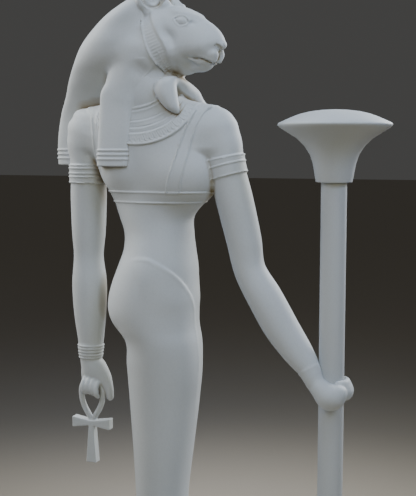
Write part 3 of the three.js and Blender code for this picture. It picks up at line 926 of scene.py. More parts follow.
    def trunk(self, points: Points) -> Values:
        """The trunk with neck, seat and breasts, before the low carving.

        Args:
            points: Places in squares.

        Returns:
            One distance for each place.
        """
        shape = join(self.torso.distance(points), NECK.distance(points), self.neck_fillet)
        shape = cut(shape, THROAT_HOLLOW.distance(points), THROAT_FILLET)
        near = (points[:, UP] > 8.7) & (points[:, UP] < 10.6) & (points[:, FORWARD] < 0.2)
        shape[near] = join(shape[near], self.seat.distance(mirrored(points[near])), self.seat_fillet)
        for breast, fillet in self.breasts:
            near = np.all(np.abs(points - np.array(breast.centre)) < 2.3, axis=1)
            shape[near] = join(shape[near], breast.distance(points[near]), fillet)
        return shape

    def hanging_arm(self, points: Points) -> Values:
        """The right arm with its hand round the ankh.

        Args:
            points: Places in squares.

        Returns:
            One distance for each place.
        """
        shape = self.arm(points, self.right_arm, (self.right_band, self.bracelet))
        shape = join(shape, self.thumb.distance(points), self.thumb_fillet)
        for finger in self.right_fingers:
            shape = join(shape, finger.distance(points), self.finger_fillet)
        return shape

    def reaching_arm(self, points: Points) -> Values:
        """The left arm with its fist round the staff.

        Args:
            points: Places in squares.

        Returns:
            One distance for each place.
        """
        shape = self.arm(points, self.left_arm, (self.left_band, self.cuff))
        back, around = self.left_hand
        shape = join(shape, back.distance(points), self.wrist_fillet)
        grasp = np.full(len(points), FAR)
        for finger in around:
            grasp = join(grasp, finger.distance(points), self.fist_fillet)
        return join(shape, grasp, self.palm_fillet)

    def distance(self, points: Points) -> Values:
        """Distance of points to the carved body, in squares, negative inside.

        Args:
            points: Places in squares.

        Returns:
            One distance for each place.
        """
        trunk = self.trunk(points)
        fillet = 0.06 + 0.46 * smooth_step(points[:, UP], 14.40, 14.85)
        shape = join(trunk, self.hanging_arm(points), fillet)
        shape = join(shape, self.reaching_arm(points), fillet) - self.relief(points, trunk)
        low = points[:, UP] < 1.6
        feet = points[low]
        ground = shape[low]
        for forward, side in self.stance:
            ground = join(ground, self.foot(feet, forward, side), self.hem_fillet)
        shape[low] = np.maximum(ground, -feet[:, UP])
        shaft = np.hypot(points[:, FORWARD] - GRIP_FORWARD, points[:, SIDE]) - SHAFT - GAP
        return np.maximum(shape, -shaft)


def to_head(points: Points) -> Points:
    """Turn places in squares into the head's own frame, along its line of sight.

    Args:
        points: Places in squares.

    Returns:
        Places in the head's own frame, in squares.
    """
    forward, side, up = points.T
    return np.stack([*turned(forward, side, HEAD_TURN), up], axis=1)


@dataclass(frozen=True)
class ManeBand:
    """The band of mane round the face: a leaning oval ring with a raised rim and rows of strokes.

    Attributes:
        centre: The ring's centre, along the line of sight and up.
        lean: The ring's axis in the same plane.
        breadth: Half its breadth.
        drop: How far it reaches below its centre.
        rise: How far it reaches above its centre.
        edges: Level below the centre, and the axis places of its outer and inner edge.
        strokes: Number of strokes round the whole ring.
        power: Power of the oval: 2 is an ellipse, and more is squarer.
    """

    centre: tuple[float, float] = (0.40, 17.93)
    lean: tuple[float, float] = (0.933, 0.359)
    breadth: float = 1.07
    drop: float = 1.00
    rise: float = 1.30
    edges: Stations = (
        (-1.20, -0.22, 0.00),
        (-0.80, -0.27, 0.04),
        (-0.48, -0.285, 0.11),
        (-0.17, -0.295, 0.165),
        (0.10, -0.30, 0.22),
        (0.37, -0.285, 0.215),
        (0.56, -0.26, 0.145),
        (0.76, -0.23, 0.05),
        (0.93, -0.20, -0.03),
        (1.05, -0.16, -0.06),
    )
    strokes: int = 61
    power: float = 2.1

    def oval(self, head: Points) -> tuple[Values, Values, Values]:
        """Size of the oval through each place, its place on the axis and its level below the centre.

        Args:
            head: Places in the head's own frame.

        Returns:
            The sizes, the places on the axis and the levels.
        """
        forward, up = head[:, FORWARD] - self.centre[0], head[:, UP] - self.centre[1]
        ahead = forward * self.lean[0] + up * self.lean[1]
        down = forward * self.lean[1] - up * self.lean[0]
        tall = np.where(down > 0, self.drop, self.rise)
        across, level = np.abs(head[:, SIDE]) / self.breadth, np.abs(down) / tall
        return (across**self.power + level**self.power) ** (1 / self.power), ahead, down

    def edges_at(self, down: Values) -> tuple[Values, Values]:
        """Axis places of the band's outer and inner edge at levels below the centre."""
        levels, outer, inner = np.array(self.edges).T
        return np.interp(down, levels, outer), np.interp(down, levels, inner)

    def beyond(self, head: Points) -> Values:
        """How far in front of the band's inner edge each place lies, in squares."""
        _, ahead, down = self.oval(head)
        return ahead - self.edges_at(down)[1]

    def distance(self, head: Points) -> Values:
        """Distance of points to the band, in squares, negative inside.

        Args:
            head: Places in the head's own frame.

        Returns:
            One distance for each place.
        """
        size, ahead, down = self.oval(head)
        up = head[:, UP]
        outer, inner = self.edges_at(down)
        width = inner - outer
        share = (ahead - outer) / width
        rim = (0.026 + 0.035 * smooth_step(up, 18.25, 18.60)) * plateau(share, -0.04, 0.17, 0.08)
        radius = 1.005 - 0.10 * np.clip(share, 0, 1) + rim
        angle = np.arctan2(np.abs(head[:, SIDE]) / self.breadth, down / self.drop)
        wave = 0.5 + 0.5 * np.cos(angle * self.strokes)
        split = smooth_step(up, 17.85, 17.60)
        rows = plateau(share, 0.16, 1.00, 0.14) - split * ridge(share, 0.58, 0.06)
        radius -= (0.010 + 0.008 * split) * wave * rows * smooth_step(up, 18.62, 18.30)
        radius -= 0.05 * smooth_step(up, 18.85, 19.15)
        side = common((size - radius) * self.breadth, -share * width, 0.02)
        return common(side, (share - 1.08) * width, 0.35 * np.abs(width))


MANE = ManeBand()


@dataclass(frozen=True)
class LionessHead:
    """Head of the lioness with brows, eyes, muzzle, ears and the band of mane, in the head's own frame.

    Attributes:
        skull: Its long form from the back to the nose. The jaw lies under it.
        mouth: Forward and up of the line between the lips.
        lip: Lower lip, from the corner of the mouth to its middle.
        pad: Upper lip under the nose, on each side.
        pad_front: Front of the same.
        ear_root: What joins the ear's shell to the head.
        ear_foot: The small step in front of the ear.
        ear_fold: The fold of skin in the ear's hollow, with a dent in it.
        eye: Forward and up of the eye's middle.
        eye_tilt: Tilt of the eye in degrees; the corner towards the nose is the lower one.
        eye_half: Half its length and height.
        tear: Forward and up of the line from the corner of the eye.
        mouth_depth: Depth of the line between the lips. What follows are heights and depths as well.
        between_eyes: The dip where the nose meets the brow.
        jaw_depth: The dip at the side of the jaw.
        cheek_depth: The dip in the cheek, before the band of mane.
    """

    skull: Loft = facing((
        (-0.70, 17.30, 18.92, 0.80, 2, 0),
        (0.00, 17.00, 19.08, 0.97, 2.2, 0),
        (0.48, 17.10, 19.11, 0.97, 2.5, 0.04),
        (0.88, 17.20, 19.04, 0.84, 2.4, 0.10),
        (1.24, 17.30, 18.87, 0.70, 2.3, 0.18),
        (1.58, 17.42, 18.66, 0.61, 2.3, 0.28),
        (1.85, 17.53, 18.46, 0.49, 2.2, 0.32),
        (2.02, 17.66, 18.31, 0.35, 2.1, 0.26),
        (2.14, 17.73, 18.15, 0.23, 2.0, 0.12),
        (2.23, 17.79, 17.99, 0.11, 2, 0),
    ))
    jaw: Loft = facing((
        (0.40, 16.99, 17.95, 0.62, 2, -0.2),
        (0.95, 17.01, 17.95, 0.50, 2, -0.2),
        (1.30, 17.09, 17.90, 0.38, 2, -0.2),
        (1.55, 17.14, 17.80, 0.31, 2, -0.2),
        (1.68, 17.20, 17.66, 0.20, 2, 0),
    ))
    mouth: Stations = (
        (1.25, 17.515), (1.41, 17.475), (1.60, 17.46), (1.72, 17.43), (1.82, 17.375), (1.95, 17.31),
    )
    lip: Tube = Tube((
        (1.30, 0.45, 17.46, 0.02),
        (1.44, 0.385, 17.405, 0.06),
        (1.58, 0.28, 17.36, 0.105),
        (1.68, 0.14, 17.34, 0.105),
        (1.70, 0.0, 17.34, 0.10),
    ))
    nostril: Tube = Tube((
        (1.97, 0.305, 17.835, 0.018),
        (2.05, 0.265, 17.835, 0.036),
        (2.13, 0.215, 17.81, 0.052),
        (2.17, 0.15, 17.745, 0.060),
        (2.14, 0.105, 17.665, 0.050),
        (2.07, 0.07, 17.61, 0.022),
    ))
    chin: Egg = Egg((1.47, 0.0, 17.27), (0.33, 0.25, 0.18))
    pad: Egg = Egg((1.69, 0.195, 17.60), (0.415, 0.235, 0.235))
    pad_front: Egg = Egg((1.90, 0.145, 17.49), (0.17, 0.14, 0.18))
    nose: Egg = Egg((2.075, 0.0, 17.85), (0.21, 0.20, 0.155))
    brow: Egg = Egg((0.98, 0.38, 18.80), (0.36, 0.22, 0.11), tip=14, turn=-14)
    socket: Egg = Egg((1.12, 0.46, 18.55), (0.30, 0.17, 0.19), tip=14, turn=-20)
    ear_shell: Egg = Egg((0.05, 0.62, 19.24), (0.20, 0.47, 0.42), turn=42)
    ear_root: Egg = Egg((0.28, 0.42, 19.06), (0.34, 0.26, 0.24))
    ear_foot: Egg = Egg((-0.04, 0.66, 18.84), (0.18, 0.17, 0.15))
    ear_hollow: Egg = Egg((0.20, 0.72, 19.28), (0.21, 0.38, 0.34), turn=42)
    ear_fold: Egg = Egg((0.10, 0.667, 19.25), (0.085, 0.27, 0.27), turn=42)
    ear_dent: Egg = Egg((0.22, 0.732, 19.27), (0.16, 0.20, 0.215), turn=42)
    eye: tuple[float, float] = (1.115, 18.565)
    eye_tilt: float = -17.0
    eye_half: tuple[float, float] = (0.186, 0.130)
    tear: Stations = ((1.33, 18.50), (1.45, 18.46), (1.62, 18.44))
    mouth_depth: float = 0.075
    lip_height: float = 0.014
    lid_height: float = 0.016
    lid_groove: float = 0.022
    eyeball_height: float = 0.020
    tear_depth: float = 0.035
    between_eyes: float = 0.035
    jaw_depth: float = 0.19
    cheek_depth: float = 0.15

    def muzzle(self, shape: Values, head: Points) -> Values:
        """Pads, chin, nose, nostrils, philtrum and the line of the mouth.

        Args:
            shape: The head's distances so far.
            head: Places in the head's own frame.

        Returns:
            The distances with the muzzle added.
        """
        ahead, beside, up = head.T
        folded = mirrored(head)
        shape = join(shape, self.chin.distance(head), 0.10)
        shape = join(shape, self.lip.distance(folded), 0.09)
        shape = join(shape, self.pad.distance(folded), 0.17 - 0.07 * smooth_step(ahead, 1.75, 2.00))
        shape = join(shape, self.pad_front.distance(folded), 0.12)
        shape = join(shape, self.nose.distance(head), 0.07)
        distance, share = along_line(folded, (FORWARD, UP), self.mouth)
        lips = self.mouth_depth * ridge(distance, 0.0, 0.022) * plateau(share, -0.02, 1.4, 0.10)
        lips -= self.lip_height * ridge(distance, 0.06, 0.05) * plateau(share, 0.35, 1.4, 0.30)
        front = plateau(up, 17.40, 17.76, 0.05) * smooth_step(ahead, 1.70, 1.80)
        depth = 0.05 + 0.13 * smooth_step(up, 17.62, 17.44)
        philtrum = depth * ridge(beside, 0.0, 0.040) * front
        return cut(shape + lips + philtrum, self.nostril.distance(folded), 0.020)

    def eyes(self, head: Points) -> Values:
        """Height of the lids and eyeballs, in squares.

        Args:
            head: Places in the head's own frame.

        Returns:
            One height for each place.
        """
        ahead, up = head[:, FORWARD] - self.eye[0], head[:, UP] - self.eye[1]
        along, across = turned(ahead, up, self.eye_tilt)
        power = np.where(along < 0, 1.35, 1.8)
        long, tall = np.abs(along) / self.eye_half[0], np.abs(across) / self.eye_half[1]
        lid = (long**power + tall**power) ** (1 / power)
        height = self.lid_height * ridge(lid, 1.20, 0.16)
        height -= self.lid_groove * ridge(lid, 0.98, 0.14)
        height += self.eyeball_height * smooth_step(lid, 0.85, 0.1)
        tear, share = along_line(head, (FORWARD, UP), self.tear)
        length = smooth_step(share, 1.0, 0.2) * smooth_step(share, -0.01, 0.05)
        height -= self.tear_depth * ridge(tear, 0.0, 0.06) * length
        return height * smooth_step(np.abs(head[:, SIDE]), 0.15, 0.30)

    def ear(self, shape: Values, head: Points) -> Values:
        """Two rounded ears, hollowed towards the front, with a fold inside.

        Args:
            shape: The head's distances so far.
            head: Places in the head's own frame.

        Returns:
            The distances with the ears added.
        """
        near = (head[:, UP] > 18.4) & (np.abs(head[:, SIDE]) > 0.2)
        close = mirrored(head[near])
        shell = join(self.ear_shell.distance(close), self.ear_root.distance(close), 0.14)
        ear = cut(shell, self.ear_hollow.distance(close), 0.04)
        fold = cut(self.ear_fold.distance(close), self.ear_dent.distance(close), 0.04)
        ear = join(join(ear, fold, 0.04), self.ear_foot.distance(close), 0.10)
        shape[near] = join(shape[near], ear, 0.08)
        return shape

    def distance(self, points: Points) -> Values:
        """Distance of points to the carved head, in squares, negative inside.

        Args:
            points: Places in squares.

        Returns:
            One distance for each place.
        """
        out = np.full(len(points), FAR)
        near = (points[:, UP] > 16.4) & (points[:, FORWARD] > -1.6)
        head = to_head(points[near])
        ahead, beside, up = head.T
        folded, beyond = mirrored(head), MANE.beyond(head)
        shape = join(self.skull.distance(head), self.jaw.distance(head), 0.10)
        shape = join(shape, self.brow.distance(folded), 0.18)
        shape = join(shape, self.socket.distance(folded), 0.12)
        shape = shape + self.between_eyes * ridge(ahead, 1.52, 0.18) * ridge(up, 18.52, 0.14)
        jaw = ridge(up, 17.22, 0.26) * plateau(ahead, 0.95, 1.45, 0.40)
        shape = shape + self.jaw_depth * jaw * smooth_step(np.abs(beside), 0.10, 0.36)
        shape = self.muzzle(shape, head) - self.eyes(head)
        fillet = 0.12 + 0.22 * smooth_step(beyond, -0.05, 0.08) * smooth_step(up, 17.2, 17.6)
        shape = join(shape, MANE.distance(head), fillet)
        cheek = ridge(ahead, 0.70, 0.26) * ridge(up, 18.02, 0.26)
        shape = shape + self.cheek_depth * cheek * smooth_step(beyond, 0.05, 0.30)
        out[near] = self.ear(shape, head)
        return out


@dataclass(frozen=True)
class Wig:
    """The long smooth wig: the hood, the rear fall, both lappets and the loose front lock.

    Attributes:
        rear: The fall behind the right shoulder.
        front: The near lappet.
        far: The far lappet.
        lock: The short lock that comes forward under the jaw.
        bridge: The hair that joins the lock to the far lappet, under the chin.
        end_band: Levels of the three ridges across the wig's ends.
        neck_line: Forward and up of the wig's thin edge on the neck.
        band_height: Height of the end band's ridges. What follows are heights and depths as well.
        edge_hollow: The hollow behind the thin edge.
        neck_sunk: How far the hair that lies on the neck starts inside the neck's own form.
    """

    rear: Loft = column((
        (19.69, -0.42, 0, 0.12, 0.12, 2),
        (19.58, -0.42, 0, 0.42, 0.42, 2),
        (19.37, -0.42, 0, 0.54, 0.70, 2),
        (19.15, -0.60, 0, 0.70, 0.90, 2),
        (18.92, -0.82, 0, 0.83, 1.02, 2),
        (18.44, -1.13, 0, 1.09, 1.10, 2),
        (17.96, -1.32, 0, 1.32, 1.14, 2),
        (17.46, -1.46, -0.10, 1.50, 1.10, 2),
        (16.96, -1.94, -0.40, 1.39, 0.92, 2),
        (16.46, -2.35, -0.65, 1.24, 0.68, 2.3),
        (15.95, -2.53, -0.82, 1.32, 0.52, 2.8),
        (15.05, -2.62, -0.88, 1.42, 0.46, 3),
        (14.24, -2.62, -0.88, 1.42, 0.46, 3),
    ))
    front: Loft = column((
        (18.30, -0.55, 0.30, 0.60, 0.50, 2),
        (17.90, -0.50, 0.50, 0.80, 0.56, 2),
        (17.60, -0.50, 0.58, 0.84, 0.50, 2),
        (17.25, -0.62, 0.64, 0.78, 0.43, 2.2),
        (17.02, -0.78, 0.68, 0.69, 0.38, 2.4),
        (16.75, -0.94, 0.72, 0.58, 0.35, 2.8),
        (16.54, -1.05, 0.75, 0.58, 0.33, 3.2),
        (16.06, -1.10, 0.80, 0.56, 0.31, 3.6),
        (15.20, -1.12, 0.90, 0.545, 0.30, 4),
        (14.24, -1.15, 1.00, 0.53, 0.29, 4),
    ))
    far: Loft = column((
        (17.35, -0.10, -0.20, 0.60, 0.55, 2),
        (17.00, -0.02, -0.40, 0.56, 0.48, 2),
        (16.70, 0.24, -0.60, 0.56, 0.42, 2),
        (16.23, 0.56, -0.90, 0.55, 0.36, 2.3),
        (15.70, 0.90, -1.12, 0.55, 0.30, 2.8),
        (15.05, 0.98, -1.22, 0.55, 0.28, 3),
        (14.24, 1.00, -1.26, 0.55, 0.28, 3),
    ))
    lock: Loft = column((
        (16.97, 0.60, 0.58, 0.12, 0.20, 2),
        (16.91, 0.55, 0.63, 0.20, 0.29, 2),
        (16.81, 0.50, 0.71, 0.27, 0.35, 2),
        (16.65, 0.475, 0.78, 0.32, 0.34, 2),
        (16.48, 0.49, 0.82, 0.345, 0.32, 2),
        (16.28, 0.568, 0.84, 0.305, 0.29, 2),
        (16.09, 0.66, 0.84, 0.25, 0.25, 2),
        (15.99, 0.72, 0.84, 0.21, 0.22, 2),
        (15.90, 0.79, 0.82, 0.15, 0.17, 2),
        (15.80, 0.87, 0.80, 0.06, 0.10, 2),
    ), edge=0.08)
    bridge: Tube = Tube((
        (0.58, 0.58, 16.80, 0.14),
        (0.66, 0.28, 16.80, 0.155),
        (0.66, -0.05, 16.67, 0.25),
        (0.66, -0.35, 16.52, 0.32),
        (0.72, -0.60, 16.36, 0.34),
    ))
    end_band: tuple[float, ...] = (14.735, 14.60, 14.465)
    neck_line: Stations = (
        (0.20, 17.34), (0.136, 17.262), (-0.094, 17.019), (-0.375, 16.756), (-0.469, 16.543), (-0.62, 16.06),
    )
    band_height: float = 0.034
    edge_ridge: float = 0.016
    edge_step: float = 0.012
    edge_hollow: float = 0.07
    neck_sunk: float = 0.012

    def hood(self, points: Points) -> Values:
        """Distance to the part of the wig that the band of mane is set on.

        Args:
            points: Places in squares.

        Returns:
            One distance for each place.
        """
        size, ahead, down = MANE.oval(to_head(points))
        side = (size - 0.965 + 0.12 * smooth_step(down, 0.15, 0.80)) * MANE.breadth
        return common(side, np.maximum(ahead + 0.27, -1.0 - ahead), 0.06)

    def edge_on_neck(self, points: Points) -> Values:
        """Height of the wig's thin edge, where it lies on the neck, in squares.

        Args:
            points: Places in squares.

        Returns:
            One height for each place.
        """
        out = np.zeros(len(points))
        near = (points[:, SIDE] > 0.4) & (points[:, UP] > 15.9) & (points[:, UP] < 17.5)
        close = points[near]
        distance, share = along_line(close, (FORWARD, UP), smooth_line(self.neck_line))
        height = self.edge_ridge * ridge(distance, 0.0, 0.018)
        height += self.edge_step * smooth_step(distance, 0.02, -0.02)
        height -= self.edge_hollow * ridge(distance, -0.24, 0.22) * plateau(share, 0.10, 0.55, 0.20)
        out[near] = height * smooth_step(np.abs(distance), 0.75, 0.45) * plateau(share, -0.01, 1.01, 0.1)
        return out

    def distance(self, points: Points) -> Values:
        """Distance of points to the wig, in squares, negative inside.

        Args:
            points: Places in squares.

        Returns:
            One distance for each place.
        """
        band = np.zeros(len(points))
        for level in self.end_band:
            band += self.band_height * ridge(points[:, UP], level, 0.030)
        hood = self.hood(points)
        shape = join(self.rear.distance(points), hood, 0.35)
        shape = join(shape, self.front.distance(points), 0.22)
        shape = join(shape, join(hood, NECK.distance(points) + self.neck_sunk, 0.50), 0.10)
        shape = cut(shape, THROAT_HOLLOW.distance(points), THROAT_FILLET)
        shape = join(shape, join(self.far.distance(points), self.bridge.distance(points), 0.20), 0.15)
        shape -= band + self.edge_on_neck(points)
        return join(shape, self.lock.distance(points), 0.04)


@dataclass(frozen=True)
class Detail:
    """A room in which the mesh is made finer.

    Attributes:
        low: Its lowest corner, in squares.
        high: Its highest corner.
        halvings: How many times the edges in it are halved.
    """

    low: Corner
    high: Corner
    halvings: int


@dataclass
class Carver:
    """Turns a distance field into a mesh that lies exactly on it.

    Attributes:
        surface: The distance field.
        low: Lowest corner of the room, in squares.
        high: Highest corner of the room, in squares.
        cell: Width of a cell of the first, coarse mesh, in squares.
        details: Rooms in which the mesh is made finer.
        slab: Number of layers of the grid that are worked out at once.
        probe: Length of the step with which the field's slope is measured.
        least_slope: Smallest square of the slope that a move is reckoned with.
        stride: Longest move towards the surface in a round, in cells.
    """

    surface: Callable[[Points], Values]
    low: Corner
    high: Corner
    cell: float
    details: Sequence[Detail] = ()
    slab: int = 24
    probe: float = 0.006
    least_slope: float = 0.15
    stride: float = 0.4

    def carve(self) -> tuple[Points, np.ndarray]:
        """Make the mesh.

        Returns:
            Places in squares, and the corners of its triangles.
        """
        points, triangles = self._net()
        points = self._settle(points, rounds=4)
        for turn in range(max((detail.halvings for detail in self.details), default=0)):
            rooms = [detail for detail in self.details if detail.halvings > turn]
            known = len(points)
            points, triangles = self._halve(points, triangles, rooms)
            points[known:] = self._settle(points[known:], rounds=3)
        return points, triangles

    def _sample(self, counts: Sequence[int]) -> Values:
        """The field on a grid, in slabs.

        Args:
            counts: Number of places of the grid along each axis.

        Returns:
            The field at each place.
        """
        axes = [self.low[k] + self.cell * np.arange(counts[k]) for k in range(3)]
        values = np.empty(counts, np.float32)
        for start in range(0, counts[2], self.slab):
            layers = slice(start, start + self.slab)
            grid = np.stack(np.meshgrid(axes[0], axes[1], axes[2][layers], indexing="ij"), axis=-1)
            values[:, :, layers] = self.surface(grid.reshape(-1, 3)).reshape(grid.shape[:3])
        return values

    def _net(self) -> tuple[Points, np.ndarray]:
        """One point in each grid cell that the surface crosses, joined to its neighbours.

        Returns:
            Places in squares, and the corners of the triangles between them.
        """
        counts = [int(math.ceil((self.high[k] - self.low[k]) / self.cell)) + 1 for k in range(3)]
        values = self._sample(counts)
        total = int(np.prod(counts))
        sums, hits = np.zeros((total, 3)), np.zeros(total)
        strides = np.array([counts[1] * counts[2], counts[2], 1])
        quads = []
        for axis in range(3):
            low = np.moveaxis(values, axis, 0)[:-1]
            high = np.moveaxis(values, axis, 0)[1:]
            found = np.argwhere((low < 0) != (high < 0))
            start, end = low[tuple(found.T)], high[tuple(found.T)]
            order = [axis, *[k for k in range(3) if k != axis]]
            cells = np.empty_like(found)
            cells[:, order] = found
            share = start / (start - end)
            crossing = cells.astype(float)
            crossing[:, axis] += share
            beside, above = (axis + 1) % 3, (axis + 2) % 3
            around = []
            for back, down in ((0, 0), (1, 0), (1, 1), (0, 1)):
                cell = cells.copy()
                cell[:, beside] -= back
                cell[:, above] -= down
                index = cell @ strides
                np.add.at(sums, index, crossing)
                np.add.at(hits, index, 1.0)
                around.append(index)
            quad = np.stack(around, axis=1)
            quad[start > 0] = quad[start > 0][:, ::-1]
            quads.append(quad)
        corners = np.vstack(quads)
        used = np.unique(corners)
        lookup = np.zeros(total, int)
        lookup[used] = np.arange(len(used))
        points = sums[used] / hits[used, None] * self.cell + np.array(self.low)
        quad = lookup[corners]
        first = np.linalg.norm(points[quad[:, 0]] - points[quad[:, 2]], axis=1)
        second = np.linalg.norm(points[quad[:, 1]] - points[quad[:, 3]], axis=1)
        short = (first <= second)[:, None]
        halves = [
            np.where(short, quad[:, [0, 1, 2]], quad[:, [0, 1, 3]]),
            np.where(short, quad[:, [0, 2, 3]], quad[:, [1, 2, 3]]),
        ]
        return points, np.vstack(halves)

    def _settle(self, points: Points, rounds: int) -> Points:
        """Lay points onto the surface, a few rounds, each along the field's steepest way.

        Args:
            points: Places in squares.
            rounds: Number of rounds.

        Returns:
            The places after their moves.
        """
        longest = self.cell * self.stride
        for _ in range(rounds):
            here = self.surface(points)
            ahead = [self.surface(points + self.probe * axis) for axis in np.eye(3)]
            slope = np.stack([(there - here) / self.probe for there in ahead], axis=1)
            size = np.maximum((slope**2).sum(axis=1), self.least_slope)
            points = points - np.clip(here / size, -longest, longest)[:, None] * slope
        return points

    def _halve(
        self, points: Points, triangles: np.ndarray, rooms: Sequence[Detail]
    ) -> tuple[Points, np.ndarray]:
        """Halve every edge whose middle lies in one of the rooms.

        Args:
            points: Places in squares.
            triangles: The corners of the triangles between them.
            rooms: The rooms.

        Returns:
            All places, the new ones last, and the corners of the new triangles.
        """
        sides = np.stack([triangles, np.roll(triangles, -1, axis=1)], axis=-1).reshape(-1, 2)
        sides = np.sort(sides, axis=1)
        edges, owner = np.unique(sides, axis=0, return_inverse=True)
        middle = points[edges].mean(axis=1)
        chosen = np.zeros(len(edges), bool)
        for room in rooms:
            chosen |= np.all((middle > np.array(room.low)) & (middle < np.array(room.high)), axis=1)
        number = np.full(len(edges), -1)
        number[chosen] = len(points) + np.arange(chosen.sum())
        split = number[owner.reshape(-1)].reshape(-1, 3)
        marks = (split >= 0).sum(axis=1)
        parts = [triangles[marks == 0]]
        a, b, c = triangles[marks == 3].T
        ab, bc, ca = split[marks == 3].T
        parts += [np.stack(t, axis=1) for t in ((a, ab, ca), (ab, b, bc), (ca, bc, c), (ab, bc, ca))]
        for turn in range(3):
            rolled, cuts = np.roll(triangles, -turn, axis=1), np.roll(split, -turn, axis=1)
            one = (marks == 1) & (cuts[:, 0] >= 0)
            a, b, c = rolled[one].T
            ab = cuts[one][:, 0]
            parts += [np.stack(t, axis=1) for t in ((a, ab, c), (ab, b, c))]
            two = (marks == 2) & (cuts[:, 2] < 0)
            a, b, c = rolled[two].T
            ab, bc = cuts[two][:, 0], cuts[two][:, 1]
            parts += [np.stack(t, axis=1) for t in ((a, ab, c), (ab, bc, c), (ab, b, bc))]
        return np.vstack([points, middle[chosen]]), np.vstack(parts)


class NodeSheet:
    """The nodes of one material, with short ways to add the kinds that stone needs."""

    def __init__(self, material: bpy.types.Material) -> None:
        """Take up a new material.

        Args:
            material: The material, as it was made.
        """
        material.use_nodes = True
        self.nodes, self.links = material.node_tree.nodes, material.node_tree.links
        self.shader = self.nodes["Principled BSDF"]
        self.place = self.nodes.new("ShaderNodeTexCoord").outputs["Object"]

    def feed(self, node: bpy.types.Node, values: dict[str | int, Feed]) -> None:
        """Link a node's inputs to outputs, or set them to plain values.

        Args:
            node: The node.
            values: An output or a value for each name or number of an input.
        """
        for key, value in values.items():
            if isinstance(value, bpy.types.NodeSocket):
                self.links.new(value, node.inputs[key])
            else:
                node.inputs[key].default_value = value

    def noise(self, scale: float, detail: float) -> bpy.types.NodeSocket:
        """A noise that is fixed to the object, so that it never slides over the stone.

        Args:
            scale: How closely it stands.
            detail: How many finer layers it has.

        Returns:
            The noise's strength.
        """
        node = self.nodes.new("ShaderNodeTexNoise")
        self.feed(node, {"Vector": self.place, "Scale": scale, "Detail": detail})
        return node.outputs["Fac"]

    def spread(
        self, value: Feed, given: Sequence[float] = (0.0, 1.0), made: Sequence[float] = (0.0, 1.0)
    ) -> bpy.types.NodeSocket:
        """Spread a range of values over another range.

        Args:
            value: The value that is spread.
            given: Start and end of its range.
            made: What they become.

        Returns:
            The value in the other range.
        """
        node = self.nodes.new("ShaderNodeMapRange")
        names = ("Value", "From Min", "From Max", "To Min", "To Max")
        self.feed(node, dict(zip(names, (value, *given, *made))))
        return node.outputs["Result"]

    def mix(self, share: Feed, first: Feed, second: Feed, blend: str = "MIX") -> bpy.types.NodeSocket:
        """Mix or multiply two colours.

        Args:
            share: Share of the second colour.
            first: First colour.
            second: Second colour.
            blend: How they are put together.

        Returns:
            The mixed colour.
        """
        node = self.nodes.new("ShaderNodeMix")
        node.data_type = "RGBA"
        node.blend_type = blend
        self.feed(node, {0: share, 6: first, 7: second})
        return node.outputs[2]


@dataclass(frozen=True)
class StoneFinish:
    """Pale matt stone with faint clouds, fine grain, painted shade (a warm brown darkening) in its hollows
    and creases, and the soft marks of rubbing.

    Attributes:
        name: The material's name.
        pale: Colour of the raised and rubbed places.
        deep: Colour of the clouds.
        painted_shade_colour: Warm brown of the painted shade that darkens hollows and creases.
        roughness: Middle roughness.
        stock: How finely the stone is worked.
        cloud_scale: How closely the clouds stand. The marks of rubbing have a scale as well.
        cloud_range: Values of the clouds' noise that are spread from deep to pale.
        grain_width: Width of the grain as a share of a tool mark, turned over.
        grain_range: Values of the grain's noise that darken the stone.
        grain_shade: How much of its light the darkest grain keeps.
        painted_shade_range: How far a place is shut in where the painted shade begins, and where it is full.
        rub_change: How far rubbing changes the roughness.
        bump_share: Height of the grain's relief as a share of a tool mark.
    """

    name: str
    pale: Colour
    deep: Colour
    painted_shade_colour: Colour
    roughness: float
    stock: Stock
    specular: float = 0.28
    cloud_scale: float = 3.2
    cloud_range: tuple[float, float] = (0.32, 0.66)
    grain_width: float = 0.35
    grain_range: tuple[float, float] = (0.25, 0.60)
    grain_shade: float = 0.955
    painted_shade_range: tuple[float, float] = (0.28, 0.95)
    rub_scale: float = 38.0
    rub_change: float = 0.07
    bump_strength: float = 0.18
    bump_share: float = 0.25

    def material(self) -> bpy.types.Material:
        """Build the material once and hand it out again after that.

        Returns:
            The material.
        """
        found = bpy.data.materials.get(self.name)
        if found:
            return found
        made = bpy.data.materials.new(self.name)
        sheet = NodeSheet(made)
        clouds = sheet.noise(self.cloud_scale, 4.0)
        grain = sheet.noise(self.grain_width / self.stock.value, 3.0)
        rubbing = sheet.noise(self.rub_scale, 3.0)
        hollow = sheet.nodes.new("ShaderNodeAttribute")
        hollow.attribute_name = "hollow"
        stone = sheet.mix(sheet.spread(clouds, self.cloud_range), (*self.deep, 1.0), (*self.pale, 1.0))
        shade = sheet.spread(grain, self.grain_range, (self.grain_shade, 1.0))
        # Painted shade: places shut in by the stone round them are darkened towards a warm brown.
        painted_shade_share = sheet.spread(hollow.outputs["Fac"], self.painted_shade_range)
        stone_with_painted_shade = sheet.mix(painted_shade_share, sheet.mix(1.0, stone, shade, "MULTIPLY"), (*self.painted_shade_colour, 1.0))
        rough = (self.roughness - self.rub_change, self.roughness + self.rub_change)
        depth = self.stock.value * self.bump_share
        bump = sheet.nodes.new("ShaderNodeBump")
        sheet.feed(bump, {"Strength": self.bump_strength, "Distance": depth, "Height": grain})
        sheet.feed(sheet.shader, {
            "Metallic": 0.0,
            "Specular IOR Level": self.specular,
            "Base Color": stone_with_painted_shade,
            "Roughness": sheet.spread(rubbing, made=rough),
            "Normal": bump.outputs["Normal"],
        })
        return made
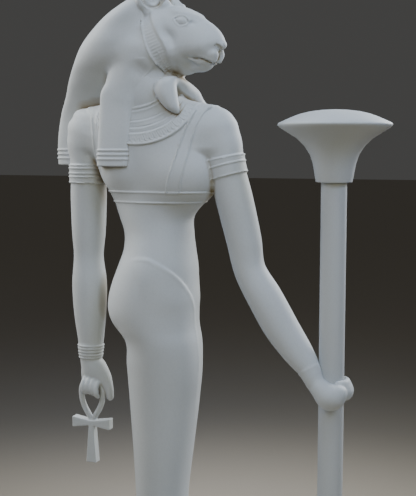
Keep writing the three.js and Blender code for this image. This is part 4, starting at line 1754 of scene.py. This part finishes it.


# Warm brown that is painted into hollows and creases as painted shade.
PAINTED_SHADE_BROWN = (0.33, 0.275, 0.18)
PALE = (0.60, 0.635, 0.66)
CLOUD = (0.56, 0.595, 0.62)
FIGURE_STONE = StoneFinish("figure_stone", PALE, (0.555, 0.59, 0.615), PAINTED_SHADE_BROWN, 0.62, Stock.CARVED)
STAFF_STONE = StoneFinish("staff_stone", PALE, CLOUD, PAINTED_SHADE_BROWN, 0.58, Stock.TURNED)
ANKH_STONE = StoneFinish("ankh_stone", PALE, CLOUD, PAINTED_SHADE_BROWN, 0.60, Stock.CARVED)
BASE_STONE = StoneFinish("base_stone", (0.56, 0.585, 0.60), (0.50, 0.525, 0.54), PAINTED_SHADE_BROWN, 0.74, Stock.DRESSED)


def place_piece(name: str, mesh: bpy.types.Mesh, node: str, finish: StoneFinish) -> bpy.types.Object:
    """Put a finished mesh in the scene in place of its node.

    Args:
        name: The piece's name.
        mesh: Its mesh, in the row frame.
        node: The node that it stands for, which is hidden.
        finish: The stone that it is made of.

    Returns:
        The new object.
    """
    piece = bpy.data.objects.new(name, mesh)
    bpy.context.scene.collection.objects.link(piece)
    mesh.materials.append(finish.material())
    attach(piece, "root")
    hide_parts(node)
    LOG.info("%s: %d faces", name, len(mesh.polygons))
    return piece


def mesh_from(name: str, canon: Canon, points: Points, triangles: np.ndarray) -> bpy.types.Mesh:
    """A smooth mesh in the row frame.

    Args:
        name: The mesh's name.
        canon: The canon of squares.
        points: Places in squares.
        triangles: The corners of its triangles, turned as they are in squares.

    Returns:
        The new mesh.
    """
    corners = triangles[:, ::-1].astype(np.int32).ravel()
    mesh = bpy.data.meshes.new(name)
    mesh.vertices.add(len(points))
    mesh.vertices.foreach_set("co", canon.to_metres(points).astype(np.float32).ravel())
    mesh.loops.add(len(corners))
    mesh.loops.foreach_set("vertex_index", corners)
    mesh.polygons.add(len(triangles))
    mesh.polygons.foreach_set("loop_start", np.arange(0, len(corners), 3, dtype=np.int32))
    mesh.update(calc_edges=True)
    mesh.validate()
    mesh.shade_smooth()
    return mesh


def skin(builder: bmesh.types.BMesh, rings: Sequence[Sequence[bmesh.types.BMVert]]) -> None:
    """Join neighbouring rings with faces that look outwards; a ring of one place closes to a point.

    Args:
        builder: The mesh in the making.
        rings: The rings' vertices, from the lowest ring up.
    """
    sides = max(len(ring) for ring in rings)
    for below, above in zip(rings, rings[1:]):
        for k in range(sides):
            j = (k + 1) % sides
            corners = [below[k % len(below)], below[j % len(below)]]
            corners += [above[j % len(above)], above[k % len(above)]]
            builder.faces.new(list(dict.fromkeys(corners)))
    bmesh.ops.recalc_face_normals(builder, faces=builder.faces)


def finished(builder: bmesh.types.BMesh, name: str) -> bpy.types.Mesh:
    """Turn the mesh in the making into a mesh of the scene.

    Args:
        builder: The mesh in the making, which is freed.
        name: The mesh's name.

    Returns:
        The new mesh.
    """
    mesh = bpy.data.meshes.new(name)
    builder.to_mesh(mesh)
    builder.free()
    return mesh


@dataclass
class Figure:
    """The carved goddess: one stone, made as the body and as the head with its wig.

    Attributes:
        canon: The canon of squares.
        painted_shade_reach: Distances at which the stone round a place is felt, and the weight of each, for
            the painted shade in hollows.
        cell: Width of a cell of the coarse mesh, in squares.
        body_room: Lowest and highest corner of the room that the body fills.
        body_details: Rooms in which its mesh is made finer.
        head_room: Lowest and highest corner of the room that the head and the wig fill.
        head_details: Rooms in which their mesh is made finer.
    """

    canon: Canon
    body: Body = field(default_factory=Body)
    head: LionessHead = field(default_factory=LionessHead)
    wig: Wig = field(default_factory=Wig)
    painted_shade_reach: Stations = ((0.12, 0.4), (0.40, 0.6))
    cell: float = 0.098
    quick_cell: float = 0.13
    body_room: tuple[Corner, Corner] = ((-3.4, -1.9, -0.2), (6.6, 2.0, 17.8))
    body_details: tuple[Detail, ...] = (
        Detail((-2.4, 0.0, 14.78), (1.9, 1.4, 16.35), 2),
        Detail((-2.4, -1.4, 14.78), (1.9, 0.0, 16.35), 1),
        Detail((-2.3, 0.0, 13.05), (2.1, 1.6, 13.56), 2),
        Detail((-2.3, -1.4, 13.05), (2.1, 0.0, 13.56), 1),
        Detail((0.4, 0.2, 13.5), (1.8, 1.6, 15.0), 2),
        Detail((-2.3, 0.2, 13.5), (-1.2, 1.6, 15.0), 2),
        Detail((-3.3, -0.9, 13.60), (-1.9, 0.9, 14.38), 2),
        Detail((1.4, -0.9, 13.75), (3.0, 0.9, 14.75), 2),
        Detail((-3.1, -0.7, 7.88), (-1.9, 0.8, 8.46), 2),
        Detail((-3.1, -0.5, 6.5), (-1.4, 0.8, 7.9), 1),
        Detail((4.4, -0.8, 6.9), (6.4, 1.4, 8.7), 1),
        Detail((-1.4, 0.2, 8.2), (1.7, 1.7, 11.7), 1),
        Detail((-0.6, -1.2, 0.0), (3.0, 1.2, 0.5), 1),
    )
    head_room: tuple[Corner, Corner] = ((-4.3, -1.8, 14.0), (2.8, 2.0, 19.9))
    head_details: tuple[Detail, ...] = (
        Detail((-0.4, -1.4, 16.9), (2.6, 1.5, 19.2), 2),
        Detail((-0.9, -1.5, 18.6), (0.5, 1.6, 19.8), 2),
        Detail((-4.2, -1.6, 14.1), (2.0, 1.9, 14.85), 2),
    )

    def build(self) -> None:
        """Carve both meshes and put them in place."""
        self._place("figure_body", self.body.distance, self.body_room, self.body_details)
        self._place("figure_head", self._upper, self.head_room, self.head_details)

    def _place(
        self, name: str, surface: Callable[[Points], Values], room: tuple[Corner, Corner],
        details: Sequence[Detail],
    ) -> None:
        """Carve one mesh and put it in place of the figure's node.

        Args:
            name: The piece's name.
            surface: Its distance field.
            room: Lowest and highest corner of the room that it fills.
            details: Rooms in which its mesh is made finer.
        """
        cell = self.cell
        points, triangles = Carver(surface, *room, cell, details).carve()
        mesh = mesh_from(name, self.canon, points, triangles)
        # Store each place's shut-in share as the mask of the painted shade in hollows and creases.
        hollow = mesh.attributes.new("hollow", "FLOAT", "POINT")
        hollow.data.foreach_set("value", self._shut_in(mesh, points).astype(np.float32))
        place_piece(name, mesh, "figure", FIGURE_STONE)

    def _upper(self, points: Points) -> Values:
        """Distance to the head with its wig, in squares."""
        return np.minimum(self.head.distance(points), self.wig.distance(points))

    def _whole(self, points: Points) -> Values:
        """Distance to the whole figure, in squares."""
        return np.minimum(self.body.distance(points), self._upper(points))

    def _shut_in(self, mesh: bpy.types.Mesh, points: Points) -> Values:
        """How far each place is shut in by the stone round it, from 0 to 1, which sets how much painted
        shade it gets.

        Args:
            mesh: The mesh made from the places, which has their outward directions.
            points: Places in squares.

        Returns:
            One share for each place.
        """
        normals = np.empty(len(points) * 3, np.float32)
        mesh.vertex_normals.foreach_get("vector", normals)
        normals = normals.reshape(-1, 3)
        outward = np.stack([-normals[:, 1], -normals[:, 0], normals[:, 2]], axis=1)
        shut = np.zeros(len(points))
        for reach, weight in self.painted_shade_reach:
            room = self._whole(points + outward * reach) / reach
            shut += weight * np.clip(1.0 - room, 0.0, 1.0)
        return shut


@dataclass
class PapyrusStaff:
    """The staff: a plain shaft under an open umbel with a domed top.

    Attributes:
        shaft_share: Radius of the shaft as a share of the umbel's radius.
        umbel_share: Height of the umbel as a share of the staff's height.
        flare: Height and radius of the umbel's side, as shares of its height and radius.
        dome: The same for its top.
        sides: Number of places round the staff.
        rings: Number of steps up the shaft.
        chamfer: Chamfer at the shaft's foot, in metres.
        last_step: How far under the umbel the shaft's last ring lies, in metres.
        crisp: Edges that turn by more than this many degrees stay crisp.
    """

    shaft_share: float = 0.227
    umbel_share: float = 0.1328
    flare: Stations = (
        (0.00, 0.319), (0.02, 0.325), (0.14, 0.35), (0.26, 0.378), (0.38, 0.43), (0.50, 0.53),
        (0.60, 0.66), (0.69, 0.84), (0.745, 0.95), (0.775, 0.992), (0.79, 1.0),
    )
    dome: Stations = (
        (0.80, 0.998), (0.815, 0.98), (0.855, 0.87), (0.90, 0.74), (0.94, 0.60), (0.97, 0.44),
        (0.99, 0.24), (1.0, 0.0),
    )
    sides: int = 96
    rings: int = 24
    chamfer: float = 0.002
    last_step: float = 0.001
    crisp: float = 42.0

    def outline(self, radius: float, height: float) -> list[tuple[float, float]]:
        """The staff's outline from the middle of its foot to the middle of its top.

        Args:
            radius: Radius of the umbel, in metres.
            height: Height of the whole staff, in metres.

        Returns:
            Radius and height of each place.
        """
        umbel = height * self.umbel_share
        foot = height - umbel
        shaft = radius * self.shaft_share
        places = [(0.0, 0.0), (shaft - self.chamfer, 0.0), (shaft, self.chamfer)]
        places += [(shaft, foot * step / self.rings) for step in range(1, self.rings)]
        places += [(shaft, foot - self.last_step)]
        return places + [(radius * wide, foot + umbel * up) for up, wide in (*self.flare, *self.dome)]

    def build(self) -> None:
        """Turn the outline and put the staff in place."""
        low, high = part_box("papyrus_staff")
        centre = Vector(((low.x + high.x) / 2, (low.y + high.y) / 2, low.z))
        turns = [2 * math.pi * k / self.sides for k in range(self.sides)]
        builder = bmesh.new()
        rings = []
        for wide, up in self.outline((high.x - low.x) / 2, high.z - low.z):
            ring = [Vector((wide * math.cos(turn), wide * math.sin(turn), up)) for turn in turns]
            if wide == 0.0:
                ring = ring[:1]
            rings.append([builder.verts.new(centre + place) for place in ring])
        skin(builder, rings)
        mesh = finished(builder, "papyrus_staff")
        mesh.shade_smooth()
        piece = place_piece("papyrus_staff_stone", mesh, "papyrus_staff", STAFF_STONE)
        edges = piece.modifiers.new("crisp", "EDGE_SPLIT")
        edges.split_angle = math.radians(self.crisp)


@dataclass
class Ankh:
    """The looped cross in the right hand, with softened edges. Its sizes are in squares.

    Attributes:
        canon: The canon of squares.
        waist: Half the width of the arms and the foot at the knot.
        arm: Half the width at the ends of the arms.
        foot: Half the width at the end of the foot.
        loop_half: Half the breadth of the loop, to the middle of its round body.
        tube: Radius of that round body.
        depth: Half the thickness of the arms and the foot.
        swell: The loop's path, as shares of its half breadth and its height.
        knot_share: Height of the knot as a share of the whole height.
        softness: Rounding of the flat faces' edges.
        fillets: Fillet between arms and foot, and between the loop and both.
        margin: Room left free round the cross.
        cell: Width of a cell of its mesh.
    """

    canon: Canon
    waist: float = 0.075
    arm: float = 0.18
    foot: float = 0.18
    loop_half: float = 0.385
    tube: float = 0.0925
    depth: float = 0.145
    swell: Stations = (
        (0, 0), (0.16, 0.10), (0.38, 0.20), (0.66, 0.32), (0.87, 0.45), (0.98, 0.60), (0.98, 0.74),
        (0.80, 0.87), (0.45, 0.96), (0, 1),
    )
    knot_share: float = 0.455
    softness: float = 0.020
    fillets: tuple[float, float] = (0.04, 0.05)
    margin: float = 0.2
    cell: float = 0.026
    quick_cell: float = 0.05

    def build(self) -> None:
        """Carve the cross and put it in place."""
        square = self.canon.square
        low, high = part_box("ankh")
        half = (high.x - low.x) / 2 / square
        reach = (high.y - low.y) / 2 / square
        tall = (high.z - low.z) / square
        centre = (
            (self.canon.leg_axis_y - (low.y + high.y) / 2) / square,
            -(low.x + high.x) / 2 / square,
            (low.z - self.canon.sole_z) / square,
        )
        depth = tall * self.knot_share
        knot = centre[UP] + depth
        loop = self._loop(centre, knot, centre[UP] + tall - self.tube)

        def distance(points: Points) -> Values:
            """Distance of points to the looped cross, in squares.

            Args:
                points: Places in squares.

            Returns:
                One distance for each place.
            """
            across = np.abs(points[:, FORWARD] - centre[FORWARD])
            up = points[:, UP] - knot
            arm_half = self.waist + (self.arm - self.waist) * np.clip(across / reach, 0, 1)
            arm = np.maximum(np.abs(up) - arm_half, across - reach)
            foot_half = self.waist + (self.foot - self.waist) * np.clip(-up / depth, 0, 1)
            foot = np.maximum(across - foot_half, np.maximum(-up - depth, up))
            face = np.abs(points[:, SIDE] - centre[SIDE]) - self.depth
            cross = common(join(arm, foot, self.fillets[0]), face, self.softness)
            return join(cross, loop.distance(points), self.fillets[1])

        margin = self.margin
        lowest = (centre[0] - reach - margin, centre[1] - half - margin, centre[2] - margin)
        highest = (centre[0] + reach + margin, centre[1] + half + margin, centre[2] + tall + margin)
        cell = self.cell
        points, triangles = Carver(distance, lowest, highest, cell).carve()
        mesh = mesh_from("ankh", self.canon, points, triangles)
        place_piece("ankh_stone", mesh, "ankh", ANKH_STONE)

    def _loop(self, centre: Corner, knot: float, top: float) -> Tube:
        """The loop as a round body from the knot round to the knot again.

        Args:
            centre: Middle of the cross's foot.
            knot: Level of the knot.
            top: Level of the loop's highest place, in the middle of its round body.

        Returns:
            The round body.
        """
        arc = [*self.swell, *[(-wide, up) for wide, up in reversed(self.swell[:-1])]]
        return Tube([
            (centre[FORWARD] + wide * self.loop_half, centre[SIDE], knot + up * (top - knot), self.tube)
            for wide, up in arc
        ])


@dataclass
class LowBase:
    """The low base, a plain block with cut corners, a chamfer round its top and worn edges. In metres.

    Attributes:
        corner: How much is cut off each standing edge.
        chamfer: Chamfer round the top.
        worn: Rounding of the worn edges.
        worn_angle: Edges that turn by more than this many degrees are worn.
    """

    corner: float = 0.012
    chamfer: float = 0.008
    worn: float = 0.0022
    worn_angle: float = 20.0

    def build(self) -> None:
        """Dress the block and put it in place."""
        _, (x, y, z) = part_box("base")
        builder = bmesh.new()
        rings = []
        for level, inset in ((0.0, 0.0), (z - self.chamfer, 0.0), (z, self.chamfer)):
            a, b, c = x - inset, y - inset, self.corner
            front = [(a, b - c), (a - c, b), (c - a, b), (-a, b - c)]
            outline = [*front, *[(-across, -along) for across, along in front]]
            rings.append([builder.verts.new((across, along, level)) for across, along in outline])
        builder.faces.new(reversed(rings[0]))
        builder.faces.new(rings[-1])
        skin(builder, rings)
        mesh = finished(builder, "base")
        mesh.shade_smooth()
        piece = place_piece("base_stone", mesh, "base", BASE_STONE)
        worn = piece.modifiers.new("worn edges", "BEVEL")
        worn.width = self.worn
        worn.segments = 3
        worn.limit_method = "ANGLE"
        worn.angle_limit = math.radians(self.worn_angle)
        worn.harden_normals = True


@dataclass(frozen=True)
class SoftLight:
    """A round soft light, placed from the figure's middle as the picture shows it, in metres.

    Attributes:
        right: How far it stands to the picture's right.
        towards: How far it stands towards the camera.
        up: How far it hangs over the middle.
        power: Its power in watts.
    """

    name: str
    right: float
    towards: float
    up: float
    size: float
    power: float
    colour: Colour


@dataclass
class Studio:
    """Pale floor, soft lights and the camera at the picture's angle.

    Attributes:
        canon: The canon of squares.
        surround: Strength of the even surrounding.
        floor_size: Half the breadth of the floor, in metres.
        middle: Height of the figure's middle, at which the lights aim.
        spread: How widely a light spreads.
        azimuth: Where the camera stands round the figure; 0 is before its face.
        pitch: How far it looks down.
        away: How far it stands from the leg axis, in metres.
        beside: How far it stands to the right of that.
        height: How far it stands over the soles.
        focal_pixels: Its focal length in the picture's pixels.
    """

    canon: Canon
    surround: float = 0.062
    surround_colour: Colour = (0.97, 0.96, 0.93)
    floor_size: float = 40.0
    floor_colour: Colour = (0.50, 0.45, 0.38)
    floor_roughness: float = 0.9
    middle: float = 1.35
    spread: float = math.radians(75.0)
    lights: tuple[SoftLight, ...] = (
        SoftLight("top", 0.3, 0.9, 2.7, 1.9, 6.4, (0.80, 0.92, 1.0)),
        SoftLight("top_left", -1.8, 1.8, 1.9, 1.9, 7.0, (0.76, 0.82, 1.0)),
        SoftLight("top_right", 2.0, 1.8, 2.0, 1.9, 8.6, (0.58, 0.70, 1.0)),
        SoftLight("left_rim", -3.0, -1.0, 1.3, 1.9, 13.6, (1.0, 0.97, 0.87)),
        SoftLight("high_left", -2.2, -1.2, 2.3, 1.9, 9.0, (0.97, 0.99, 1.0)),
        SoftLight("right_rim", 2.4, -2.2, 1.4, 1.9, 30.0, (1.0, 1.0, 0.97)),
        SoftLight("front", 0.6, 4.0, 1.2, 1.9, 4.4, (1.0, 0.91, 0.45)),
    )
    azimuth: float = math.radians(-70.0)
    pitch: float = math.radians(6.1)
    away: float = 2.96
    beside: float = 0.141
    height: float = 1.452
    focal_pixels: float = 970.0
    image_height: float = 496.0

    def build(self) -> None:
        """Set up the stage."""
        self._floor()
        self._world()
        self._lights()
        self._camera()

    def _floor(self) -> None:
        """A wide plain floor."""
        builder = bmesh.new()
        bmesh.ops.create_grid(builder, x_segments=2, y_segments=2, size=self.floor_size)
        mesh = finished(builder, "floor")
        floor = bpy.data.objects.new("floor", mesh)
        bpy.context.scene.collection.objects.link(floor)
        paint = bpy.data.materials.new("floor_paint")
        paint.use_nodes = True
        shader = paint.node_tree.nodes["Principled BSDF"]
        shader.inputs["Base Color"].default_value = (*self.floor_colour, 1.0)
        shader.inputs["Roughness"].default_value = self.floor_roughness
        mesh.materials.append(paint)

    def _world(self) -> None:
        """An even pale surrounding."""
        world = bpy.data.worlds.new("studio")
        world.use_nodes = True
        shader = world.node_tree.nodes["Background"]
        shader.inputs["Color"].default_value = (*self.surround_colour, 1.0)
        shader.inputs["Strength"].default_value = self.surround
        bpy.context.scene.world = world

    def _lights(self) -> None:
        """Large soft lights, each placed as seen in the picture."""
        middle = Vector((0.0, 0.0, self.middle))
        towards, right = self._towards(), self._right()
        for light in self.lights:
            spot = middle + right * light.right + towards * light.towards + Vector((0, 0, light.up))
            glow = bpy.data.lights.new(light.name, "AREA")
            glow.shape = "DISK"
            glow.size = light.size
            glow.energy = light.power
            glow.color = light.colour
            glow.spread = self.spread
            lamp = bpy.data.objects.new(light.name, glow)
            lamp.location = spot
            lamp.rotation_euler = (middle - spot).to_track_quat("-Z", "Y").to_euler()
            bpy.context.scene.collection.objects.link(lamp)

    def _towards(self) -> Vector:
        """The level direction from the figure towards the camera."""
        return Vector((math.sin(self.azimuth), -math.cos(self.azimuth), 0.0))

    def _right(self) -> Vector:
        """The level direction towards the picture's right."""
        return Vector((0, 0, 1)).cross(self._towards())

    def _camera(self) -> None:
        """The camera at the picture's angle, without shift or blur."""
        lens = bpy.data.cameras.new("picture")
        lens.lens = self.focal_pixels / self.image_height * lens.sensor_width
        camera = bpy.data.objects.new("picture", lens)
        look, right = -self._towards(), self._right()
        foot = Vector((0.0, self.canon.leg_axis_y, self.canon.sole_z))
        camera.location = foot - look * self.away + right * self.beside + Vector((0, 0, self.height))
        aim = look * math.cos(self.pitch) - Vector((0, 0, math.sin(self.pitch)))
        camera.rotation_euler = aim.to_track_quat("-Z", "Y").to_euler()
        bpy.context.scene.collection.objects.link(camera)
        bpy.context.scene.camera = camera


def main() -> None:
    """Build the statue and its stage, and log the size of a square."""
    logging.basicConfig(level=logging.INFO, format="%(name)s: %(message)s")
    canon = Canon.from_frame()
    LOG.info("one square is %.5f m", canon.square)
    Figure(canon).build()
    PapyrusStaff().build()
    Ankh(canon).build()
    LowBase().build()
    Studio(canon).build()


if __name__ == "__main__":
    main()
